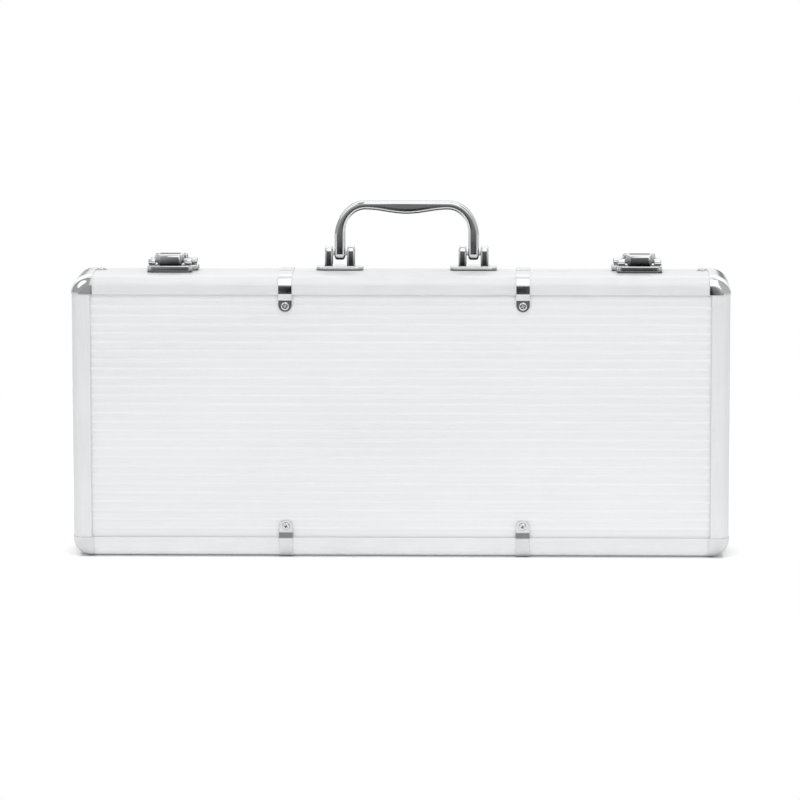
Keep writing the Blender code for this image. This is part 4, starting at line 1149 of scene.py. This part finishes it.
centre = (half_length - corner_radius, case_top - corner_radius)
case_middle = (0, 0, (case_top + case_bottom) / 2)
for half, face, inner, stop in (("lid", lid_face, 1, lid_cap_stop), ("base", base_face, 0, base_cap_stop)):
    lower_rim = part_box(half + "_corner_top_right")[inner].y
    for upright, rim in (("top", rail_high.y + stop), ("bottom", lower_rim)):
        cap = cap_shell("cap", centre, face, rim)
        face_outwards(cap, Vector((centre[0], (face + rim) / 2, centre[1])))
        thicken(cap, sheet_wall)
        ease_edges(cap, rim_round, 3, 50)
        if upright == "bottom":
            mirror(cap, (1, 1, -1), case_middle)
        elif half == "base":
            join(cap, *make_ear(centre[0], base_face - ear_from_face))
        other = twin(cap)
        mirror(other, (-1, 1, 1), (0, 0, 0))
        for side, piece in (("right", cap), ("left", other)):
            settle(piece, "%s_ball_corner_%s_%s" % (half, upright, side), "chrome",
                   ["%s_corner_%s_%s" % (half, upright, side)])

# %% [markdown]
# ## The panel clips and their screws
#
# Eight bent strips hold the ribbed skins in their frames. Each one runs over the rounded
# rail, along its lip, steps down onto the skin and ends in a round tab with one screw.
# The strip could be cut from a block, but it is bent sheet, so it is made like sheet: a
# line is drawn along its outside, pulled out to the strip's width, rounded at its bends
# and given the sheet's thickness. One strip is made for the lid and one for the base,
# and the others are turned copies.

# %% Clips
clip_sheet = 0.8 * MM
clip_rim = 0.18 * MM
lip_width = 15.9 * MM
tab_sunk = 0.7 * MM
tab_end = 31.3 * MM
step_run = 5.0 * MM
clip_low, clip_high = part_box("lid_clip_top_left")
clip_width = clip_high.x - clip_low.x


def bent_strip(depth):
    """Clip for a shell of this depth, from its outer edge, facing -Y."""
    skin = sheet_gap + clip_sheet
    line = ((depth, skin), (-skin, skin), (-skin, -lip_width), (tab_sunk, -lip_width - step_run),
            (tab_sunk, -tab_end))
    strip = bent_line("strip", [(-clip_width / 2, y, z) for y, z in line])
    pick_all()
    extrude((clip_width, 0, 0))
    pick("EDGE", lambda e: along(e, 0) and near(middle(e).y, -skin) and near(middle(e).z, skin))
    bevel(edge_radius + skin, 16)
    pick("EDGE", lambda e: along(e, 0) and near(middle(e).z, -lip_width))
    bevel(0.5 * MM, 4)
    pick("EDGE", lambda e: along(e, 0) and near(middle(e).z, -lip_width - step_run))
    bevel(0.4 * MM, 4)
    pick("VERT", lambda v: near(v.co.z, -tab_end))
    bevel(clip_width / 2 * 0.985, 12, "VERTICES")
    face_out()
    end()
    face_outwards(strip, Vector((0, depth, -tab_end / 2)))
    thicken(strip, clip_sheet)
    ease_edges(strip, clip_rim, 3, 50)
    return strip


# %% [markdown]
# The screws have pan heads with a cross recess. A pan head is a cylinder with a wide
# bevel on its front rim. The recess is cut with a tool of two crossed bars that narrow
# towards the bottom, which is how the punch that makes a real recess looks. Each screw
# stopped at a turn of its own when it was driven, so each copy is turned differently.

# %% Screws
head_radius = 3.4 * MM
head_height = 1.7 * MM
head_seat = 0.4 * MM
recess_span = 3.9 * MM
recess_width = 1.0 * MM
recess_depth = 1.15 * MM
screw_from_edge = 26.2 * MM
head_round = 1.15 * MM
shank_radius = 1.7 * MM
screw_rim = 0.09 * MM


def cross_punch():
    """Two crossed bars that narrow towards the screw."""
    bars = []
    for size in ((recess_span, recess_width), (recess_width, recess_span)):
        front = -head_height - MM
        bar = block("punch", (-size[0] / 2, front, -size[1] / 2),
                    (size[0] / 2, recess_depth - head_height, size[1] / 2))
        pick("FACE", lambda f: f.normal.y > 0.9)
        resize((0.55, 1, 0.55))
        end()
        bars.append(bar)
    apply_modifier(bars[0], "BOOLEAN", object=bars[1], operation="UNION", solver="EXACT")
    bpy.data.objects.remove(bars[1])
    return bars[0]


def pan_screw():
    """Pan-head screw about the origin, its head towards -Y."""
    bpy.ops.mesh.primitive_cylinder_add(vertices=48, radius=head_radius, depth=head_height,
                                        location=(0, -head_height / 2, 0), rotation=(math.pi / 2, 0, 0))
    screw = bpy.context.object
    freeze()
    begin(screw)
    pick("EDGE", lambda e: near(e.verts[0].co.y, -head_height) and near(e.verts[1].co.y, -head_height))
    bevel(head_round, 6)
    pick("FACE", lambda f: f.normal.y > 0.9)
    bpy.ops.mesh.inset(thickness=head_radius - shank_radius)
    extrude((0, 3.2 * MM, 0))
    resize((0.55, 1, 0.55))
    end()
    punch = cross_punch()
    apply_modifier(screw, "BOOLEAN", object=punch, operation="DIFFERENCE", solver="EXACT")
    bpy.data.objects.remove(punch)
    ease_edges(screw, screw_rim, 2, 45)
    return screw


# %% [markdown]
# The clips near the floor get a painted shade on their step, and their screws a painted
# shade in their recesses. So their points are marked by height and by depth.

# %% Place the clips and the screws
step_margin = (0.25 * MM, 0.15 * MM)
step_shade_share = 0.8
recess_shade_share = 0.85
first_turn = 0.35
next_turn = 0.8


def on_step(point):
    """How much painted shade a point of a lower clip gets: some on its step, none elsewhere."""
    height = point.co.z - case_bottom
    return step_shade_share * (lip_width + step_margin[0] < height < lip_width + step_run - step_margin[1])


driven = first_turn
screw_made = pan_screw()
for half, face, inner, into, turn in (("lid", lid_face, 1, 1, 0.0), ("base", base_face, 0, -1, math.pi)):
    strip_made = bent_strip(abs(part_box(half + "_clip_top_left")[inner].y - face))
    recess_from = face + into * (head_seat - head_height + recess_depth / 2)
    for upright, edge, roll, way, finish in (("top", case_top, 0.0, -1, "chrome"),
                                             ("bottom", case_bottom, math.pi, 1, "cast_chrome")):
        for side in ("left", "right"):
            name = "%s_%s" % (upright, side)
            low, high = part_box("%s_clip_%s" % (half, name))
            strip = twin(strip_made)
            strip.location = ((low.x + high.x) / 2, face, edge)
            strip.rotation_euler = (0, roll, turn)
            settle(strip, "panel_clip_%s_%s" % (half, name), finish, ["%s_clip_%s" % (half, name)], 35,
                   shade_at=on_step)
            screw = twin(screw_made)
            screw.location = ((low.x + high.x) / 2, face + into * head_seat, edge + way * screw_from_edge)
            screw.rotation_euler = (0, roll + driven, turn)
            # The screw's recess gets the painted shade.
            settle(screw, "pan_screw_%s_%s" % (half, name), finish, ["%s_clip_screw_%s" % (half, name)], 35,
                   shade_at=lambda point: recess_shade_share * (into * (point.co.y - recess_from) > 0))
            driven += next_turn
    bpy.data.objects.remove(strip_made)
bpy.data.objects.remove(screw_made)

# %% [markdown]
# ## Pieces that keep the model's shape
#
# The rails, hinges, pins, claws and flocked trays already have their real shape in the
# model, so they aren't drawn again. Its meshes are loose triangles, so each is copied,
# its corners are merged and its flat faces are cleared of spare edges. A small bevel then
# breaks every sharp edge on all but the pins, as deburring does, and smooth shading rounds the bends.

# %% Copy and finish the model's own shapes
def refine(name_in_model, name, finish, rim=0.0, angle=32):
    """Copy, clean, deburr and dress one of the model's shapes."""
    piece = bpy.data.objects.new(name, frame["nodes"][name_in_model].data.copy())
    bpy.context.scene.collection.objects.link(piece)
    begin(piece)
    pick_all()
    bpy.ops.mesh.remove_doubles(threshold=0.000002)
    bpy.ops.mesh.dissolve_limited(angle_limit=math.radians(0.6))
    end()
    if rim:
        ease_edges(piece, rim, 2, 38)
    return settle(piece, name, finish, [name_in_model], angle)


rail_rim = 0.12 * MM
leaf_rim = 0.1 * MM
claw_rim = 0.15 * MM
rack_rim = 0.5 * MM
tray_rim = 0.7 * MM
for half in ("lid", "base"):
    for side in ("top", "bottom", "left", "right"):
        grain = "rail_aluminium" if side in ("top", "bottom") else "rail_aluminium_upright"
        refine("%s_rail_%s" % (half, side), "frame_%s_%s" % (half, side), grain, rail_rim, 24)
    for side in ("left", "right"):
        refine("%s_hinge_leaf_%s" % (half, side), "rolled_leaf_%s_%s" % (half, side), "zinc_steel", leaf_rim)
for side in ("left", "right"):
    refine("hinge_pin_" + side, "hinge_rod_" + side, "zinc_steel")
    refine("handle_pin_" + side, "handle_rod_" + side, "zinc_steel")
    refine("latch_claw_" + side, "draw_claw_" + side, "zinc_steel", claw_rim)
    refine("chip_rack_" + side, "flocked_rack_" + side, "black_flock", rack_rim, 50)
refine("accessory_tray", "flocked_tray", "black_flock", tray_rim, 50)

# %% [markdown]
# ## The ribbed skins
#
# Each shell's face is a thin aluminium sheet with fine rolled ribs all across. All ribs
# are alike, so one is drawn as a bent line, pulled out to the sheet's length and rounded.
# An Array repeats it down the sheet, plain strips close the two edges, and Solidify turns
# the surface into sheet. Drawing it by hand row by row would give the same shape with
# much more work.

# %% Ribbed skins
rib_pitch = 7.74 * MM
rib_count = 27
rib_height = 0.45 * MM
rib_width = 3.0 * MM
rib_top_share = 0.2
first_rib = 20.0 * MM
skin_sheet = 0.6 * MM


def ribbed_skin(low, high):
    """Ribbed sheet facing -Y that fills a box."""
    sheet = high.y - skin_sheet
    top_rib = case_top - first_rib
    line = ((rib_pitch / 2, 0), (rib_width / 2, 0), (rib_width * rib_top_share, rib_height),
            (-rib_width * rib_top_share, rib_height), (-rib_width / 2, 0), (-rib_pitch / 2, 0))
    skin = bent_line("skin", [(low.x, sheet - rise, top_rib + z) for z, rise in line])
    pick_all()
    extrude((high.x - low.x, 0, 0))
    pick("EDGE", lambda e: along(e, 0) and abs(middle(e).z - top_rib) < rib_width)
    bevel(0.5 * MM, 4)
    end()
    apply_modifier(skin, "ARRAY", count=rib_count, use_relative_offset=False, use_constant_offset=True,
                   constant_offset_displace=(0, 0, -rib_pitch), use_merge_vertices=True,
                   merge_threshold=0.00001)
    begin(skin)
    last_rib = top_rib - rib_pitch * (rib_count - 0.5)
    for edge, limit in ((top_rib + rib_pitch / 2, high.z), (last_rib, low.z)):
        pick("EDGE", lambda e: along(e, 0) and near(middle(e).z, edge))
        extrude((0, 0, limit - edge))
    face_out()
    end()
    face_outwards(skin, Vector((0, high.y + 1, (low.z + high.z) / 2)))
    thicken(skin, skin_sheet)
    return skin


low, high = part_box("lid_panel")
lid_skin = ribbed_skin(low, high)
base_skin = twin(lid_skin)
base_skin.rotation_euler = (0, 0, math.pi)
settle(lid_skin, "ribbed_skin_lid", "panel_aluminium", ["lid_panel"], 35, weighted=False)
settle(base_skin, "ribbed_skin_base", "panel_aluminium", ["base_panel"], 35, weighted=False)

# %% [markdown]
# ## The foam pad in the lid
#
# A pad of black foam fills the lid and keeps the chips in their rows. It is cut from
# sheet foam and held by its edges, so its face is a little crowned and its sides pull in
# between the corners. It starts as a grid, which is pulled out to the pad's thickness.
# The corners are then rounded in plan and the crown is shaped by moving the grid's
# points, because cut foam keeps a plain form that needs no cloth simulation.

# %% Lid foam
foam_corner = 14 * MM
foam_crown = 1.8 * MM
foam_bow = 1.6 * MM
foam_edge = 5 * MM
foam_drop = 2.5 * MM
foam_layers = (0.12, 0.30, 0.30, 0.20, 0.08)
low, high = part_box("lid_foam")
half_x = (high.x - low.x) / 2
half_z = (high.z - low.z) / 2
foam_centre = (low + high) / 2
bpy.ops.mesh.primitive_grid_add(x_subdivisions=96, y_subdivisions=40, size=2, rotation=(-math.pi / 2, 0, 0))
foam = bpy.context.object
foam.scale = (half_x, half_z, 1)
freeze()
begin(foam)
pick_all()
slide((foam_centre.x, low.y, foam_centre.z))
for share in foam_layers:
    move = (0, (high.y - low.y) * share, 0)
    extrude(move)
face_out()
end()
for point in foam.data.vertices:
    x, y, z = point.co - foam_centre
    corner_x = max(abs(x) - half_x + foam_corner, 0)
    corner_z = max(abs(z) - half_z + foam_corner, 0)
    if corner_x and corner_z:
        pull = max(corner_x, corner_z) / math.hypot(corner_x, corner_z)
        x = math.copysign(half_x - foam_corner + corner_x * pull, x)
        z = math.copysign(half_z - foam_corner + corner_z * pull, z)
    up = (point.co.y - low.y) / (high.y - low.y)
    rim = min(half_x - abs(x), half_z - abs(z)) / foam_edge
    ease = 1 - math.sqrt(max(0.0, 1 - (1 - min(rim, 1)) ** 2))
    across = x / half_x
    along_z = z / half_z
    bow = foam_bow * (0.3 + 0.7 * math.sin(math.pi * up))
    x -= math.copysign(bow * (1 - along_z ** 4) * abs(across) ** 12, x)
    z -= math.copysign(bow * (1 - across ** 4) * abs(along_z) ** 8, z)
    crown = foam_crown * (1 - across ** 4) * (1 - along_z ** 4)
    lift = up * (crown - foam_drop * ease)
    point.co = foam_centre + Vector((x, y + lift, z))
settle(foam, "lid_foam_pad", "black_foam", ["lid_foam"], 60, weighted=False)
print("foam crown:", round(foam_crown / MM, 1), "mm")
